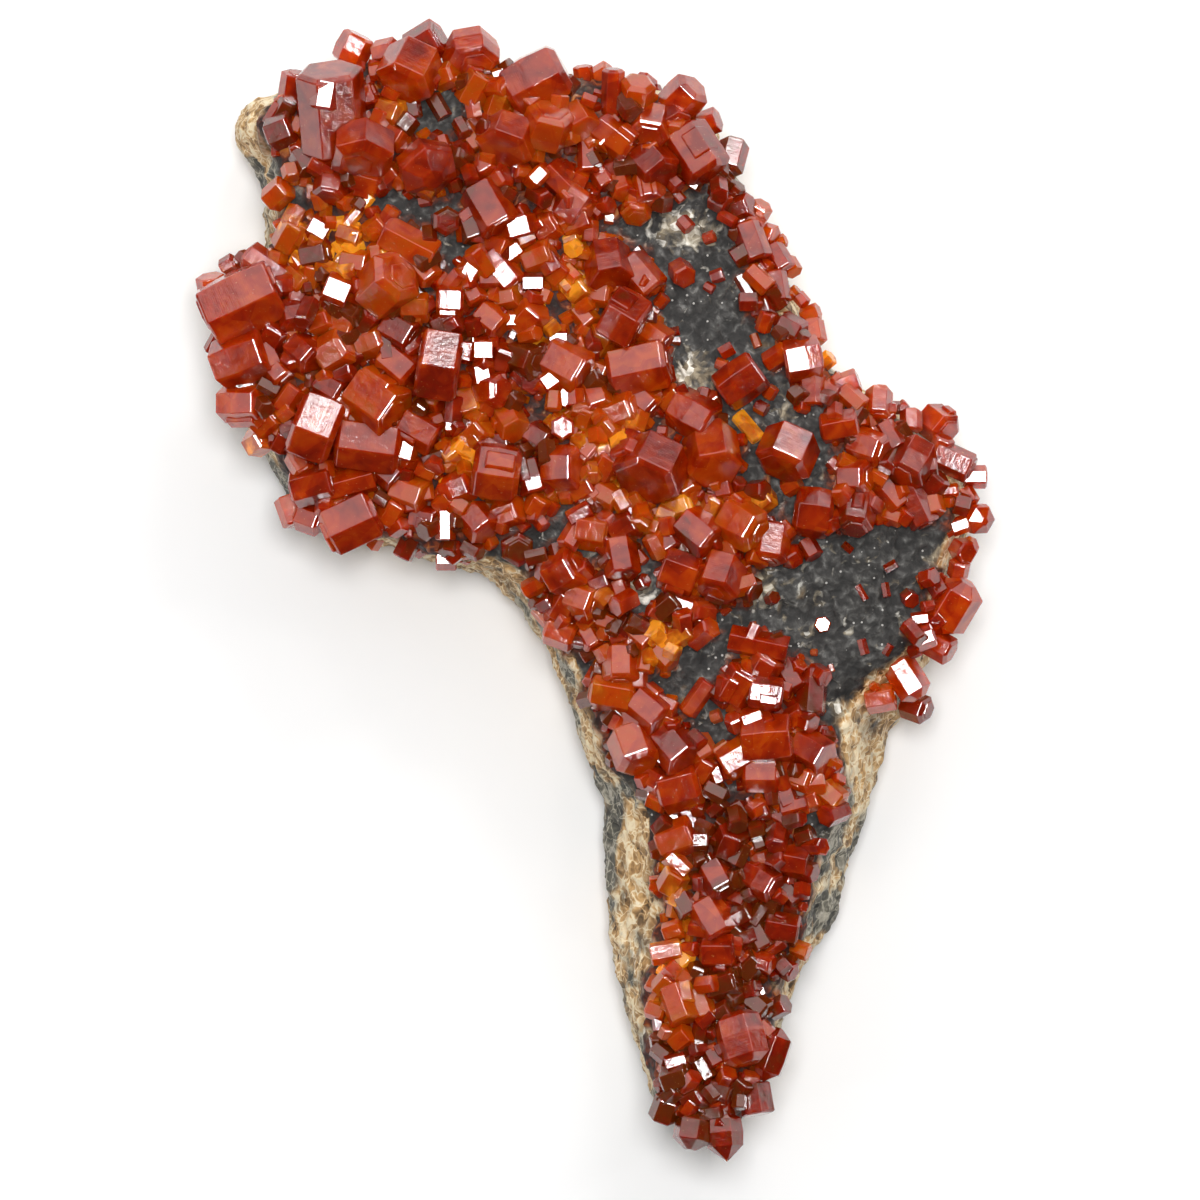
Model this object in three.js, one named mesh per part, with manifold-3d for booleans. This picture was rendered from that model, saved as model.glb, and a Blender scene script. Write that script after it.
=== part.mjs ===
// Vanadinite on matrix: a slab of dark, brown-weathered rock that lies on its flat back, with
// crusts and single crystals of vanadinite grown on its upper side.
// Millimetres, +Z up. The origin is on the rest face, near the middle of the plan.

import * as THREE from 'three';
import { mergeVertices } from 'three/addons/utils/BufferGeometryUtils.js';
import Module from 'manifold-3d';

const wasm = await Module();
wasm.setup();

// ---- driving dimensions, mm ----

const SLAB_THICKNESS = 14.6;   // rest face to the middle level of the crystal-bearing side
const RELIEF = 0.9;            // rise and fall of that side
const RIM_DROP = 1.0;          // how far its rim lies below that level
const RIM_WIDTH = 2.4;         // how wide the rounding towards the rim is
const GIRTH_HEIGHT = 5.2;      // height of the widest line round the slab
const FOOT_INSET = 2.4;        // edge of the rest face, in from the widest line
const FOOT_RISE = 1.3;         // height of the rough edge round the rest face
const END_LIFT = 3.2;          // rise of the underside at both ends of the slab
const ROUGHNESS = 0.28;        // unevenness of the broken sides
const OVERHANG_SLOPE = 0.8;    // how steeply crystals follow the slab down past its rim
const GAP = 0.3;               // clearance between neighbouring solids
const BED_RISE = 1.3;          // crust of small crystals round the large ones
const BED_DEPTH = 1.8;         // how far that crust reaches down before the slab cuts it
const BED_REACH = 0.36;        // share of a crystal's width that its crust covers
const TOP_STEPS = 6;            // strips across the upper side of the slab
const SEATING = 0.55;          // share of its half height by which a crystal's middle is raised
const BEVEL = 0.13;            // share of the width taken by the faces round a crystal's ends
const BEVELLED_FROM = 4.0;     // crystals at least this wide have those faces

// The slab in plan, from the top end to the tail: the widest line (girth) and the rim of the
// upper side. y, girth left, rim left, rim right, girth right.
const SLAB_ROWS = [
  [40.0, -20.5, -18.0, -8.5, -6.0],
  [37.8, -25.3, -22.0, 6.0, 8.2],
  [35.8, -26.5, -23.6, 7.8, 9.4],
  [31.0, -25.3, -23.5, 10.3, 11.6],
  [26.2, -24.6, -23.0, 12.8, 13.9],
  [24.3, -27.1, -25.0, 13.7, 14.8],
  [21.0, -28.9, -26.6, 15.3, 16.4],
  [17.2, -28.2, -26.0, 16.9, 18.1],
  [14.5, -27.4, -25.0, 20.6, 22.5],
  [11.5, -25.3, -23.2, 25.4, 27.2],
  [8.2, -23.4, -21.2, 27.4, 29.5],
  [5.5, -22.1, -19.5, 27.4, 29.3],
  [3.6, -15.0, -12.0, 26.9, 28.7],
  [1.3, -7.4, -4.9, 26.3, 27.8],
  [-3.5, -3.7, -2.1, 24.9, 26.6],
  [-8.0, -1.5, -0.2, 19.5, 24.4],
  [-12.5, -0.2, 1.0, 18.6, 22.5],
  [-15.5, 0.8, 3.8, 19.0, 21.5],
  [-21.0, 1.3, 5.1, 16.6, 19.7],
  [-24.8, 1.4, 5.9, 16.0, 18.9],
  [-29.0, 2.0, 4.8, 14.2, 15.9],
  [-35.0, 3.8, 4.8, 12.9, 13.9],
  [-38.8, 5.0, 6.0, 11.3, 12.2],
  [-40.7, 7.4, 8.0, 9.9, 10.7],
];

// Crystals are six-sided prisms. A row gives the middle in plan (x, y), the width across two
// opposite faces, the length, the direction of the long axis in plan (azimuth, degrees from +X),
// its slope above the level (elevation), the turn about the axis (roll; 0 has a prism face
// on top, 30 an edge) and, where a crystal stands on others, an extra lift.
const CLUSTERS = {
  crown_left_cluster: [
    [-17.9, 41.2, 2.5, 2.4, 63, 10, 0],
    [-19.3, 36.3, 4.5, 6.6, 94, 25, 12],
    [-17.1, 33.3, 4.5, 3.2, -90, 35, 20],
    [-12.2, 32.0, 4.2, 3.6, -60, 50, 15],
    [-13.5, 39.3, 4.0, 3.6, -115, 35, 0],
    [-8.9, 40.7, 3.9, 2.6, -80, 40, 0],
    [-23.2, 34.9, 2.3, 2.2, 20, 20, 0],
    [-19.4, 30.8, 2.4, 2.6, -100, 30, 0],
  ],
  crown_right_cluster: [
    [-4.1, 38.6, 4.2, 4.8, 28, 5, 0],
    [-3.2, 35.2, 3.4, 3.1, 70, 40, 10],
    [-6.2, 34.2, 4.0, 2.7, -110, 35, 0],
    [3.5, 37.6, 2.4, 2.7, 80, 40, 0],
    [6.9, 37.1, 3.0, 3.3, 45, 25, 0],
    [4.5, 35.2, 2.8, 2.7, -100, 50, 0],
    [1.8, 34.4, 2.4, 3.3, -38, 10, 10],
    [4.7, 32.3, 3.0, 3.0, -50, 35, 0],
    [8.0, 33.3, 3.3, 4.3, -58, 15, 5],
    [10.7, 33.1, 2.1, 2.7, -105, 25, 0],
  ],
  upper_middle_cluster: [
    [-7.5, 29.0, 3.0, 3.7, -60, 20, 0],
    [-5.4, 27.6, 2.5, 1.7, -75, 0, 0],
    [-1.3, 29.4, 2.5, 3.0, 55, 10, 0],
    [-6.8, 24.4, 2.2, 3.3, -50, 5, 0],
  ],
  left_ledge_cluster: [
    [-13.6, 26.2, 2.5, 4.4, -28, 5, 0],
    [-15.2, 23.2, 3.9, 3.7, 40, 45, 0],
    [-19.0, 22.8, 2.5, 2.0, -22, 0, 0],
    [-20.4, 27.3, 1.8, 1.6, -30, 0, 0],
    [-22.6, 27.2, 2.2, 2.4, 60, 20, 0],
  ],
  left_lobe_cluster: [
    [-26.2, 22.0, 4.6, 5.8, 25, 5, -20],
    [-24.4, 24.7, 2.0, 3.6, -35, 5, 0],
    [-26.2, 17.8, 3.7, 4.2, 20, 20, 0],
    [-26.2, 14.4, 2.7, 3.3, 0, 30, 0],
    [-21.6, 18.2, 2.5, 2.6, -40, 30, 0],
  ],
  left_lower_cluster: [
    [-20.6, 12.3, 4.9, 3.4, -21, 0, 5, 0.6],
    [-16.0, 14.5, 3.7, 3.9, -35, 25, 0],
    [-16.7, 11.2, 3.6, 4.9, -8, 0, 20],
    [-12.8, 12.3, 2.7, 3.0, -30, 10, 0],
    [-20.9, 8.2, 2.5, 3.3, 15, 10, 0],
    [-18.0, 5.4, 3.6, 4.2, 25, 4, 14],
    [-13.6, 7.6, 2.4, 2.6, -20, 20, 0],
  ],
  centre_cluster: [
    [-11.3, 17.2, 5.4, 3.0, -9, 0, 5, 0.4],
    [-10.5, 22.0, 2.5, 2.1, -2, 0, 0],
    [-4.9, 17.6, 2.5, 2.6, -20, 40, 0],
    [-1.7, 17.2, 3.2, 3.2, -30, 20, 0],
    [-7.4, 15.4, 2.4, 2.6, 0, 50, 0],
  ],
  centre_lower_cluster: [
    [-7.0, 9.3, 4.3, 3.6, -9, 0, 20, 0.3],
    [-2.0, 9.5, 3.0, 2.7, 0, 30, 0],
    [-2.4, 12.5, 2.2, 2.2, 40, 60, 0],
    [-9.9, 8.0, 2.3, 2.6, 20, 30, 0],
    [-8.4, 5.4, 2.4, 2.4, -50, 30, 0],
  ],
  centre_right_cluster: [
    [1.4, 24.7, 3.3, 3.0, -80, 35, 0],
    [3.8, 24.0, 2.5, 3.3, -50, 10, 0],
    [2.6, 20.7, 3.7, 2.3, -31, 10, 0],
    [3.7, 17.0, 3.7, 4.6, 12, 10, 20],
    [2.4, 13.7, 2.4, 2.6, 20, 30, 0],
  ],
  heart_cluster: [
    [4.7, 9.5, 4.9, 3.4, -115, 35, 0, 0.3],
    [7.8, 13.4, 3.0, 3.4, -30, 20, 0],
    [9.2, 10.4, 3.6, 3.7, -80, 40, 0],
  ],
  lower_band_cluster: [
    [11.4, 5.2, 3.3, 3.3, -30, 30, 0, 0.4],
    [13.3, 3.6, 2.7, 3.0, -100, 20, 0],
    [8.1, 4.6, 3.0, 3.0, -40, 20, 0],
    [6.7, 1.6, 2.8, 2.8, -20, 5, 0],
    [9.8, 1.3, 3.1, 3.0, -110, 30, 0],
    [7.4, -1.1, 2.0, 2.7, -20, 10, 0],
  ],
  notch_cluster: [
    [-1.9, 1.7, 3.0, 2.7, 30, 30, 0],
    [-0.5, -0.4, 2.5, 2.5, -20, 30, 0],
    [-2.2, -2.9, 2.1, 2.4, -20, 10, 0],
    [2.3, 2.7, 2.4, 2.8, -80, 20, 0],
    [0.2, 4.7, 2.6, 2.3, -10, 10, 0],
  ],
  tail_left_cluster: [
    [2.3, -5.3, 2.5, 2.7, -90, 20, 0],
    [1.7, -7.4, 2.8, 3.3, -10, 5, 0],
    [4.5, -8.7, 2.7, 2.7, -40, 20, 0],
    [3.4, -11.6, 3.3, 3.2, -70, 30, 0],
    [6.4, -11.6, 3.0, 3.0, -50, 30, 0],
    [6.8, -14.7, 3.0, 3.3, 15, 10, 0],
  ],
  tail_right_cluster: [
    [12.7, -3.8, 2.0, 4.5, -12, 5, 0],
    [11.5, -6.9, 2.4, 2.6, 60, 20, 0],
    [13.4, -7.7, 3.0, 3.3, 0, 0, 0, 0.5],
    [16.7, -7.3, 2.1, 3.4, -95, 10, 0],
    [13.4, -11.0, 3.6, 3.7, 5, 10, 0],
    [11.1, -12.3, 2.5, 2.7, 30, 10, 0],
    [16.7, -11.9, 2.7, 2.7, -30, 30, 0],
  ],
  tail_middle_cluster: [
    [6.6, -18.6, 2.6, 2.8, 20, 20, 0],
    [10.6, -18.4, 2.3, 2.4, 70, 40, 0],
    [9.7, -21.5, 2.4, 2.6, -60, 30, 0],
    [15.1, -20.1, 2.3, 2.7, -10, 10, 0],
    [12.9, -21.6, 2.4, 2.8, -30, 30, 0],
    [9.2, -24.5, 2.5, 3.0, -60, 20, 0],
    [14.5, -25.0, 2.3, 2.6, -10, 10, 0],
    [9.7, -27.0, 2.5, 2.7, 0, 10, 0],
  ],
  tail_end_cluster: [
    [6.7, -30.9, 2.3, 3.0, -70, 20, 0],
    [11.4, -33.4, 3.3, 4.0, -75, 15, 15, 0.4],
    [13.6, -34.7, 2.5, 4.2, -110, 5, -22],
    [6.8, -36.6, 2.2, 2.4, 20, 20, 0],
    [12.5, -38.1, 2.2, 2.4, -80, 10, 0],
    [7.8, -40.4, 2.7, 3.0, -100, 10, 0],
    [10.1, -40.7, 2.5, 4.1, -85, 10, 12],
  ],
  right_cluster: [
    [20.2, 8.8, 2.5, 2.4, 0, 30, 0],
    [20.3, 6.1, 2.8, 3.0, -100, 35, 0],
    [22.4, 7.8, 1.7, 3.3, -50, 5, -16],
    [24.2, 9.9, 3.0, 3.1, -120, 35, 0],
    [24.6, 6.7, 2.1, 3.4, -65, 8, 12],
    [20.9, 11.1, 2.5, 2.8, -20, 25, 0],
    [18.9, 12.6, 2.2, 2.8, 10, 5, 0],
    [26.4, 12.9, 2.5, 2.5, -40, 40, 0],
    [27.5, 10.1, 2.1, 3.0, -25, 10, 0],
    [29.3, 5.8, 2.2, 2.2, -30, 60, 0],
  ],
  right_shoulder_cluster: [
    [16.0, 17.7, 3.0, 2.7, 10, -5, 0],
    [16.7, 15.4, 1.9, 2.4, -90, 5, 0],
    [19.2, 15.8, 1.7, 2.3, 20, 10, 0],
    [16.9, 19.8, 1.6, 1.9, -80, 20, 0],
  ],
  right_rim_cluster: [
    [27.5, -0.9, 3.0, 4.4, 60, 20, 0],
    [26.4, -3.9, 2.0, 2.4, -30, 20, 0],
  ],
  right_corner_cluster: [
    [24.2, -6.9, 2.5, 4.2, -55, 10, 0],
    [22.2, -8.1, 1.9, 2.2, 10, 10, 0],
  ],
  edge_chain_cluster: [
    [11.4, 29.2, 1.7, 1.9, 20, 30, 0],
    [12.2, 26.6, 2.1, 3.1, -70, 10, 0],
    [14.3, 25.4, 1.6, 2.2, -60, 20, 0],
    [14.1, 23.2, 1.6, 2.5, -80, 10, 0],
  ],
};

const LONE_CRYSTALS = {
  upper_island_crystal: [11.5, 16.3, 2.9, 3.3, 35, 5, 10],
  middle_island_crystal: [14.8, 10.7, 3.9, 3.3, -114, 30, 0],
  lower_island_crystal: [16.9, 6.2, 3.3, 2.7, -8, 0, 10],
  glowing_prism: [11.8, 12.6, 1.0, 2.2, -50, 10, 0],
  tilted_prism: [8.2, -7.7, 1.3, 2.9, 55, 10, 0],
  round_purple_crystal: [-10.5, 27.6, 1.8, 2.0, 0, 80, 0],
  steep_crystal: [6.9, 24.2, 1.6, 2.0, -60, 60, 0],
  hexagon_crystal: [17.5, -2.3, 1.1, 1.2, 100, 88, 0],
  notch_glint_crystal: [-5.4, 3.3, 2.2, 1.8, -60, 70, 0],
  rim_glint_crystal: [-4.3, 0.4, 1.4, 1.9, 30, 20, 0],
  ledge_amber_crystal: [-23.4, 30.4, 1.9, 2.1, 40, 30, 0],
  lobe_amber_crystal: [-25.0, 11.4, 2.0, 2.0, 30, 50, 0],
  small_right_crystal: [24.1, -0.3, 1.1, 1.2, -50, 60, 0],
  rim_hexagon_crystal: [28.2, 3.3, 1.5, 1.6, -30, 60, 0],
};

// ---- colours ----

const DARK_ROCK = 0x4d4a45;
const DEEP_RED = 0xa8200a;
const RED_ORANGE = 0xc43a10;
const AMBER = 0xb8701c;
const AMBER_NODES = ['lobe_amber_crystal', 'glowing_prism', 'ledge_amber_crystal'];

const rockMaterial = new THREE.MeshStandardMaterial({ color: DARK_ROCK, roughness: 0.8, metalness: 0 });

function crystalMaterial(colour) {
  return new THREE.MeshStandardMaterial({ color: colour, roughness: 0.12, metalness: 0 });
}

// ---- the slab ----

// A repeatable unevenness between -1 and 1 for the point at (i, j).
function uneven(i, j) {
  const wave = Math.sin(i * 12.9898 + j * 78.233) * 43758.5453;
  return 2 * (wave - Math.floor(wave)) - 1;
}

function rowAt(y) {
  const last = SLAB_ROWS.length - 1;
  if (y >= SLAB_ROWS[0][0]) {
    return SLAB_ROWS[0];
  }
  if (y <= SLAB_ROWS[last][0]) {
    return SLAB_ROWS[last];
  }
  const below = SLAB_ROWS.findIndex((row) => row[0] <= y);
  const upper = SLAB_ROWS[below - 1];
  const lower = SLAB_ROWS[below];
  const share = (upper[0] - y) / (upper[0] - lower[0]);
  return upper.map((value, k) => THREE.MathUtils.lerp(value, lower[k], share));
}

// Height of the upper side at a point between the rims of its row.
function crest(x, y, rimLeft, rimRight) {
  const swell = Math.sin(x * 0.16 + 0.8) * Math.cos(y * 0.13 - 0.4);
  const ripple = 0.4 * Math.sin(x * 0.33 + y * 0.24);
  const fromRim = Math.min(x - rimLeft, rimRight - x);
  return SLAB_THICKNESS + RELIEF * (swell + ripple) - RIM_DROP * Math.exp(-fromRim / RIM_WIDTH);
}

// Height that crystals stand on, which falls away past the rim.
function ground(x, y) {
  const [rowY, , rimLeft, rimRight] = rowAt(y);
  const inX = THREE.MathUtils.clamp(x, rimLeft, rimRight);
  const outside = Math.abs(x - inX) + Math.abs(y - rowY);
  return crest(inX, rowY, rimLeft, rimRight) - OVERHANG_SLOPE * outside;
}

// One cross-section of the slab, anticlockwise seen from the tail end; grow makes it larger.
function slabSection(row, index, grow) {
  const [y, girthLeft, rimLeft, rimRight, girthRight] = row;
  const fromEnd = Math.min(index, SLAB_ROWS.length - 1 - index);
  const lift = fromEnd > 1 ? 0 : END_LIFT * (1 - 0.5 * fromEnd);
  const footLeft = girthLeft + FOOT_INSET;
  const footRight = Math.max(girthRight - FOOT_INSET, footLeft + 0.8);
  const points = [];
  const bump = (k) => ROUGHNESS * uneven(index, k);
  for (let k = 0; k <= 4; k += 1) {
    points.push([THREE.MathUtils.lerp(footLeft, footRight, k / 4), lift - grow]);
  }
  const side = (girth, rim, sign, start) => {
    const rimHeight = crest(rim, y, rimLeft, rimRight) + grow;
    const slope = rim + sign * grow;
    const wide = girth + sign * grow;
    return [
      [wide - sign * 0.55 * FOOT_INSET, lift + FOOT_RISE + bump(start) - grow * 0.7],
      [wide - sign * 0.2 + bump(start + 1) * 0.5, Math.max(GIRTH_HEIGHT * 0.6, lift + 2)],
      [wide, GIRTH_HEIGHT + bump(start + 2)],
      [THREE.MathUtils.lerp(wide, slope, 0.35) + bump(start + 3), rimHeight * 0.62],
      [THREE.MathUtils.lerp(wide, slope, 0.75) + bump(start + 4) * 0.6, rimHeight * 0.84],
    ];
  };
  points.push(...side(girthRight, rimRight, 1, 10));
  for (let k = 0; k <= TOP_STEPS; k += 1) {
    const share = k / TOP_STEPS;
    const x = THREE.MathUtils.lerp(rimRight, rimLeft, share);
    const shifted = x + grow * (1 - 2 * share);
    points.push([shifted, crest(x, y, rimLeft, rimRight) + grow]);
  }
  points.push(...side(girthLeft, rimLeft, -1, 20).reverse());
  return points;
}

function slabGeometry(grow) {
  const sections = SLAB_ROWS.map((row, index) => slabSection(row, index, grow));
  const around = sections[0].length;
  const last = sections.length - 1;
  const vertices = [];
  sections.forEach((section, index) => {
    const stretch = grow * ((index === 0 ? 1 : 0) - (index === last ? 1 : 0));
    section.forEach(([x, z]) => vertices.push(x, SLAB_ROWS[index][0] + stretch, z));
  });
  const faces = [];
  for (let i = 0; i < last; i += 1) {
    for (let k = 0; k < around; k += 1) {
      const a = i * around + k;
      const b = i * around + ((k + 1) % around);
      faces.push(a, b, a + around, b, b + around, a + around);
    }
  }
  // Each end is closed by a fan round the middle of its cross-section.
  const closeEnd = (index, flip) => {
    const section = sections[index];
    const middleX = section.reduce((sum, point) => sum + point[0], 0) / around;
    const middleZ = section.reduce((sum, point) => sum + point[1], 0) / around;
    const middle = vertices.length / 3;
    vertices.push(middleX, vertices[3 * index * around + 1], middleZ);
    for (let k = 0; k < around; k += 1) {
      const a = index * around + k;
      const b = index * around + ((k + 1) % around);
      faces.push(middle, flip ? b : a, flip ? a : b);
    }
  };
  closeEnd(0, true);
  closeEnd(last, false);
  const geometry = new THREE.BufferGeometry();
  geometry.setAttribute('position', new THREE.Float32BufferAttribute(vertices, 3));
  geometry.setIndex(faces);
  return geometry;
}

// ---- crystals and their crust ----

function crystalGeometry([x, y, across, length, azimuth, elevation, roll, lift = 0]) {
  const radius = across / Math.sqrt(3);
  const half = length / 2;
  const profile = [new THREE.Vector2(0, -half)];
  if (across >= BEVELLED_FROM) {
    const cut = BEVEL * across;
    const rim = radius - cut;
    profile.push(new THREE.Vector2(rim, -half));
    profile.push(new THREE.Vector2(radius, cut * 0.8 - half));
    profile.push(new THREE.Vector2(radius, half - cut * 0.8));
    profile.push(new THREE.Vector2(rim, half));
  } else {
    profile.push(new THREE.Vector2(radius, -half));
    profile.push(new THREE.Vector2(radius, half));
  }
  profile.push(new THREE.Vector2(0, half));
  const geometry = new THREE.LatheGeometry(profile, 6);
  const az = THREE.MathUtils.degToRad(azimuth);
  const el = THREE.MathUtils.degToRad(elevation);
  const axis = new THREE.Vector3(Math.cos(el) * Math.cos(az), Math.cos(el) * Math.sin(az), Math.sin(el));
  const top = new THREE.Vector3(-Math.sin(el) * Math.cos(az), -Math.sin(el) * Math.sin(az), Math.cos(el));
  const aside = new THREE.Vector3().crossVectors(axis, top);
  const halfHeight = 0.5 * (across * Math.cos(el) + length * Math.abs(Math.sin(el)));
  const middle = new THREE.Vector3(x, y, ground(x, y) + SEATING * halfHeight + lift);
  geometry.rotateY(THREE.MathUtils.degToRad(roll + 30));
  geometry.applyMatrix4(new THREE.Matrix4().makeBasis(aside, axis, top));
  geometry.translate(middle.x, middle.y, middle.z);
  return geometry;
}

// The convex outline round all the points, anticlockwise.
function outlineRound(points) {
  const sorted = [...points].sort((a, b) => a.x - b.x || a.y - b.y);
  const turn = (a, b, c) => (b.x - a.x) * (c.y - a.y) - (b.y - a.y) * (c.x - a.x);
  const chain = (list) => {
    const hull = [];
    list.forEach((point) => {
      while (hull.length > 1 && turn(hull.at(-2), hull.at(-1), point) <= 0) {
        hull.pop();
      }
      hull.push(point);
    });
    return hull.slice(0, -1);
  };
  return [...chain(sorted), ...chain(sorted.reverse())];
}

// The crust of small crystals that a cluster stands in: a low slab of rock and crystal with the
// outline of the cluster, following the ground below it.
function bedGeometry(crystals) {
  const points = [];
  crystals.forEach(([x, y, across]) => {
    const reach = BED_REACH * across;
    for (let k = 0; k < 4; k += 1) {
      const angle = (k + 0.5) * Math.PI / 2;
      points.push(new THREE.Vector2(x + reach * Math.cos(angle), y + reach * Math.sin(angle)));
    }
  });
  const outline = outlineRound(points);
  const middle = new THREE.Vector2();
  outline.forEach((point) => middle.addScaledVector(point, 1 / outline.length));
  const around = outline.length;
  const vertices = [];
  [-BED_DEPTH, BED_RISE].forEach((rise) => {
    [middle, ...outline].forEach((point) => {
      vertices.push(point.x, point.y, ground(point.x, point.y) + rise);
    });
  });
  const faces = [];
  const top = around + 1;
  for (let k = 0; k < around; k += 1) {
    const a = 1 + k;
    const b = 1 + ((k + 1) % around);
    faces.push(0, b, a, top, top + a, top + b, a, b, top + a, b, top + b, top + a);
  }
  const geometry = new THREE.BufferGeometry();
  geometry.setAttribute('position', new THREE.Float32BufferAttribute(vertices, 3));
  geometry.setIndex(faces);
  return geometry;
}

// ---- solids ----

function toSolid(geometry) {
  geometry.deleteAttribute('normal');
  geometry.deleteAttribute('uv');
  const merged = mergeVertices(geometry, 1e-4);
  const index = merged.index.array;
  const faces = [];
  for (let i = 0; i < index.length; i += 3) {
    const [a, b, c] = [index[i], index[i + 1], index[i + 2]];
    if (a !== b && b !== c && c !== a) {
      faces.push(a, b, c);
    }
  }
  const vertProperties = Float32Array.from(merged.attributes.position.array);
  const triVerts = Uint32Array.from(faces);
  return new wasm.Manifold(new wasm.Mesh({ numProp: 3, vertProperties, triVerts }));
}

function toMesh(name, solid, material) {
  const { vertProperties, triVerts } = solid.getMesh();
  const geometry = new THREE.BufferGeometry();
  geometry.setAttribute('position', new THREE.Float32BufferAttribute(vertProperties, 3));
  geometry.setIndex(Array.from(triVerts));
  geometry.computeVertexNormals();
  const mesh = new THREE.Mesh(geometry, material);
  mesh.name = name;
  return mesh;
}

const group = new THREE.Group();
const slab = toSolid(slabGeometry(0));
const slabWithGap = toSolid(slabGeometry(GAP));
group.add(toMesh('matrix', slab, rockMaterial));

function colourOf(name, position) {
  if (AMBER_NODES.includes(name)) {
    return AMBER;
  }
  return position % 2 ? RED_ORANGE : DEEP_RED;
}

Object.entries(CLUSTERS).forEach(([name, crystals], position) => {
  let solid = toSolid(bedGeometry(crystals));
  crystals.forEach((crystal) => {
    solid = solid.add(toSolid(crystalGeometry(crystal)));
  });
  group.add(toMesh(name, solid.subtract(slabWithGap), crystalMaterial(colourOf(name, position))));
});

Object.entries(LONE_CRYSTALS).forEach(([name, crystal], position) => {
  const solid = toSolid(crystalGeometry(crystal)).subtract(slabWithGap);
  group.add(toMesh(name, solid, crystalMaterial(colourOf(name, position))));
});

export default group;
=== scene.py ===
"""Vanadinite on matrix: detailed crystals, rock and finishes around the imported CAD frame."""

import math
import random
from collections import namedtuple

import bmesh
import bpy
import numpy as np
from mathutils import Matrix, Vector, noise
from mathutils.bvhtree import BVHTree


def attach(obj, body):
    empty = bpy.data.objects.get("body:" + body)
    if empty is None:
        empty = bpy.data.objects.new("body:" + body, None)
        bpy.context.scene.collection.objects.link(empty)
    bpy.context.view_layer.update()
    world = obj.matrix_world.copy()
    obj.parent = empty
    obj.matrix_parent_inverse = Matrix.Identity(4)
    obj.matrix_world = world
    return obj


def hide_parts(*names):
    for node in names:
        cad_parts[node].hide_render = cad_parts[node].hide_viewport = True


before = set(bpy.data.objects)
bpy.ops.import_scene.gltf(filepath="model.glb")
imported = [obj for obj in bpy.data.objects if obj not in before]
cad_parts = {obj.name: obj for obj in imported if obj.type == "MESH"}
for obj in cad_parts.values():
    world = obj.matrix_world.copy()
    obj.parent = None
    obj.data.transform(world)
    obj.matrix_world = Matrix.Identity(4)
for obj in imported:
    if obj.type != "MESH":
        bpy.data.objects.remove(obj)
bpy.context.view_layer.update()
MM = 0.001

# ------------------------------
# Driving values. Crystal places and sizes are in millimetres, in the frame of the CAD model.

SEATING = 0.55             # share of its half height by which a crystal's middle is raised
OVERHANG_SLOPE = 0.8       # how steeply crystals follow the slab down past its rim
RIM_STEPS = 40             # steps in which the nearest upper side is looked for
FALLBACK_HEIGHT = 12.0     # height of the ground where none is found, mm
CHAMFER = 0.014            # width of the fine flat on a crystal's edges, share of its width
CHAMFER_FROM = 1.2         # narrower crystals have sharp edges, mm
END_BEVEL = 0.09           # width of the sloping faces round a crystal's ends, share of its width
BARREL_FROM = 2.0          # wider crystals may bulge, mm
GROWTH_FROM = 1.9          # wider crystals may have terraces and side growths, mm
UNEVEN = 0.05              # how much the distances of a prism's side faces differ
DRUSE_MARGIN = 0.55        # how far the crust reaches past its large crystals, mm
DRUSE_TRIES = 7            # tries for each spacing square of a crust's box
LARGE_FROM = 1.6           # no small crystal stands inside a wider one, mm
LARGE_INSIDE = 0.33        # how far that inside reaches from its middle, share of its width
FREE_DISTANCE = 0.5        # small crystals further from the rock are left out, share of their width
CRUST_FLOOR = 10.8         # the red grains under the crusts end at about this height, mm
CRUST_FADE = 1.6           # over this height they thin out, mm
CRUST_EDGE = 0.7           # over this distance in plan they thin out, mm
CRUST_RISE = 0.25          # how much the grains raise the rock, mm
FLANK_DRIFT = 3.2          # how far patches on the flanks wander from their place in plan, mm
FLAT_BELOW = 1.4           # relief fades out below this height, towards the flat rest face, mm
ROCK_VOXEL = 0.30          # detail of the rock's mesh, mm

# Relief of the rock: heights in mm, and scales of the noise a millimetre.
LUMP_HEIGHT, LUMP_SCALE = 0.30, 0.42
CREST_HEIGHT, CREST_SCALE = 0.13, 0.85
WORN_HEIGHT, WORN_SCALE = 0.34, 0.62
WARP_HEIGHT, WARP_SCALE = 0.5, 0.4
DRIFT_SCALE = 0.22
NOISE_SEED = 1             # without a seed, the noise vectors would follow the clock
UPPER_FROM, UPPER_SPAN = 0.55, 0.25    # upward share of the normal where the upper side begins

# The small crystals that fill a crust come in layers: spacing, least width, widest, lift from
# and lift to, mm.
DRUSE_LAYERS = ((0.78, 0.6, 1.05, -0.15, 0.25), (1.55, 0.95, 1.55, 0.3, 0.9))

# Tones along the crystals' colour range.
BROWN, DEEP, RED, ORANGE, AMBER, GOLD = 0.0, 0.18, 0.38, 0.58, 0.78, 1.0
ANY = None                 # the tone is drawn at random
USUAL_TONES = (RED, DEEP, ORANGE, RED, BROWN)
DARK_TONES = (BROWN, DEEP, BROWN, RED)
AMBER_TONES = (AMBER, ORANGE, AMBER, GOLD)
DARK_CRUSTS = ("tail_middle_cluster", "tail_end_cluster")

# One crystal. The width is across two opposite faces. Azimuth and elevation give the long axis
# in degrees; a crystal with elevation and roll 0 lies flat with a face upwards. Lift raises a
# crystal that stands on others. Taper is for crystals that narrow to a point: the share of the
# width that the sloping faces of the ends take.
Crystal = namedtuple(
    "Crystal", "x y width length azimuth elevation tone roll lift taper", defaults=(ANY, 0, 0, None))

# One prism that a crystal is made of: its middle is moved by shift, and a barrel bulges.
Prism = namedtuple("Prism", "width length shift bevel barrel")

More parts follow.
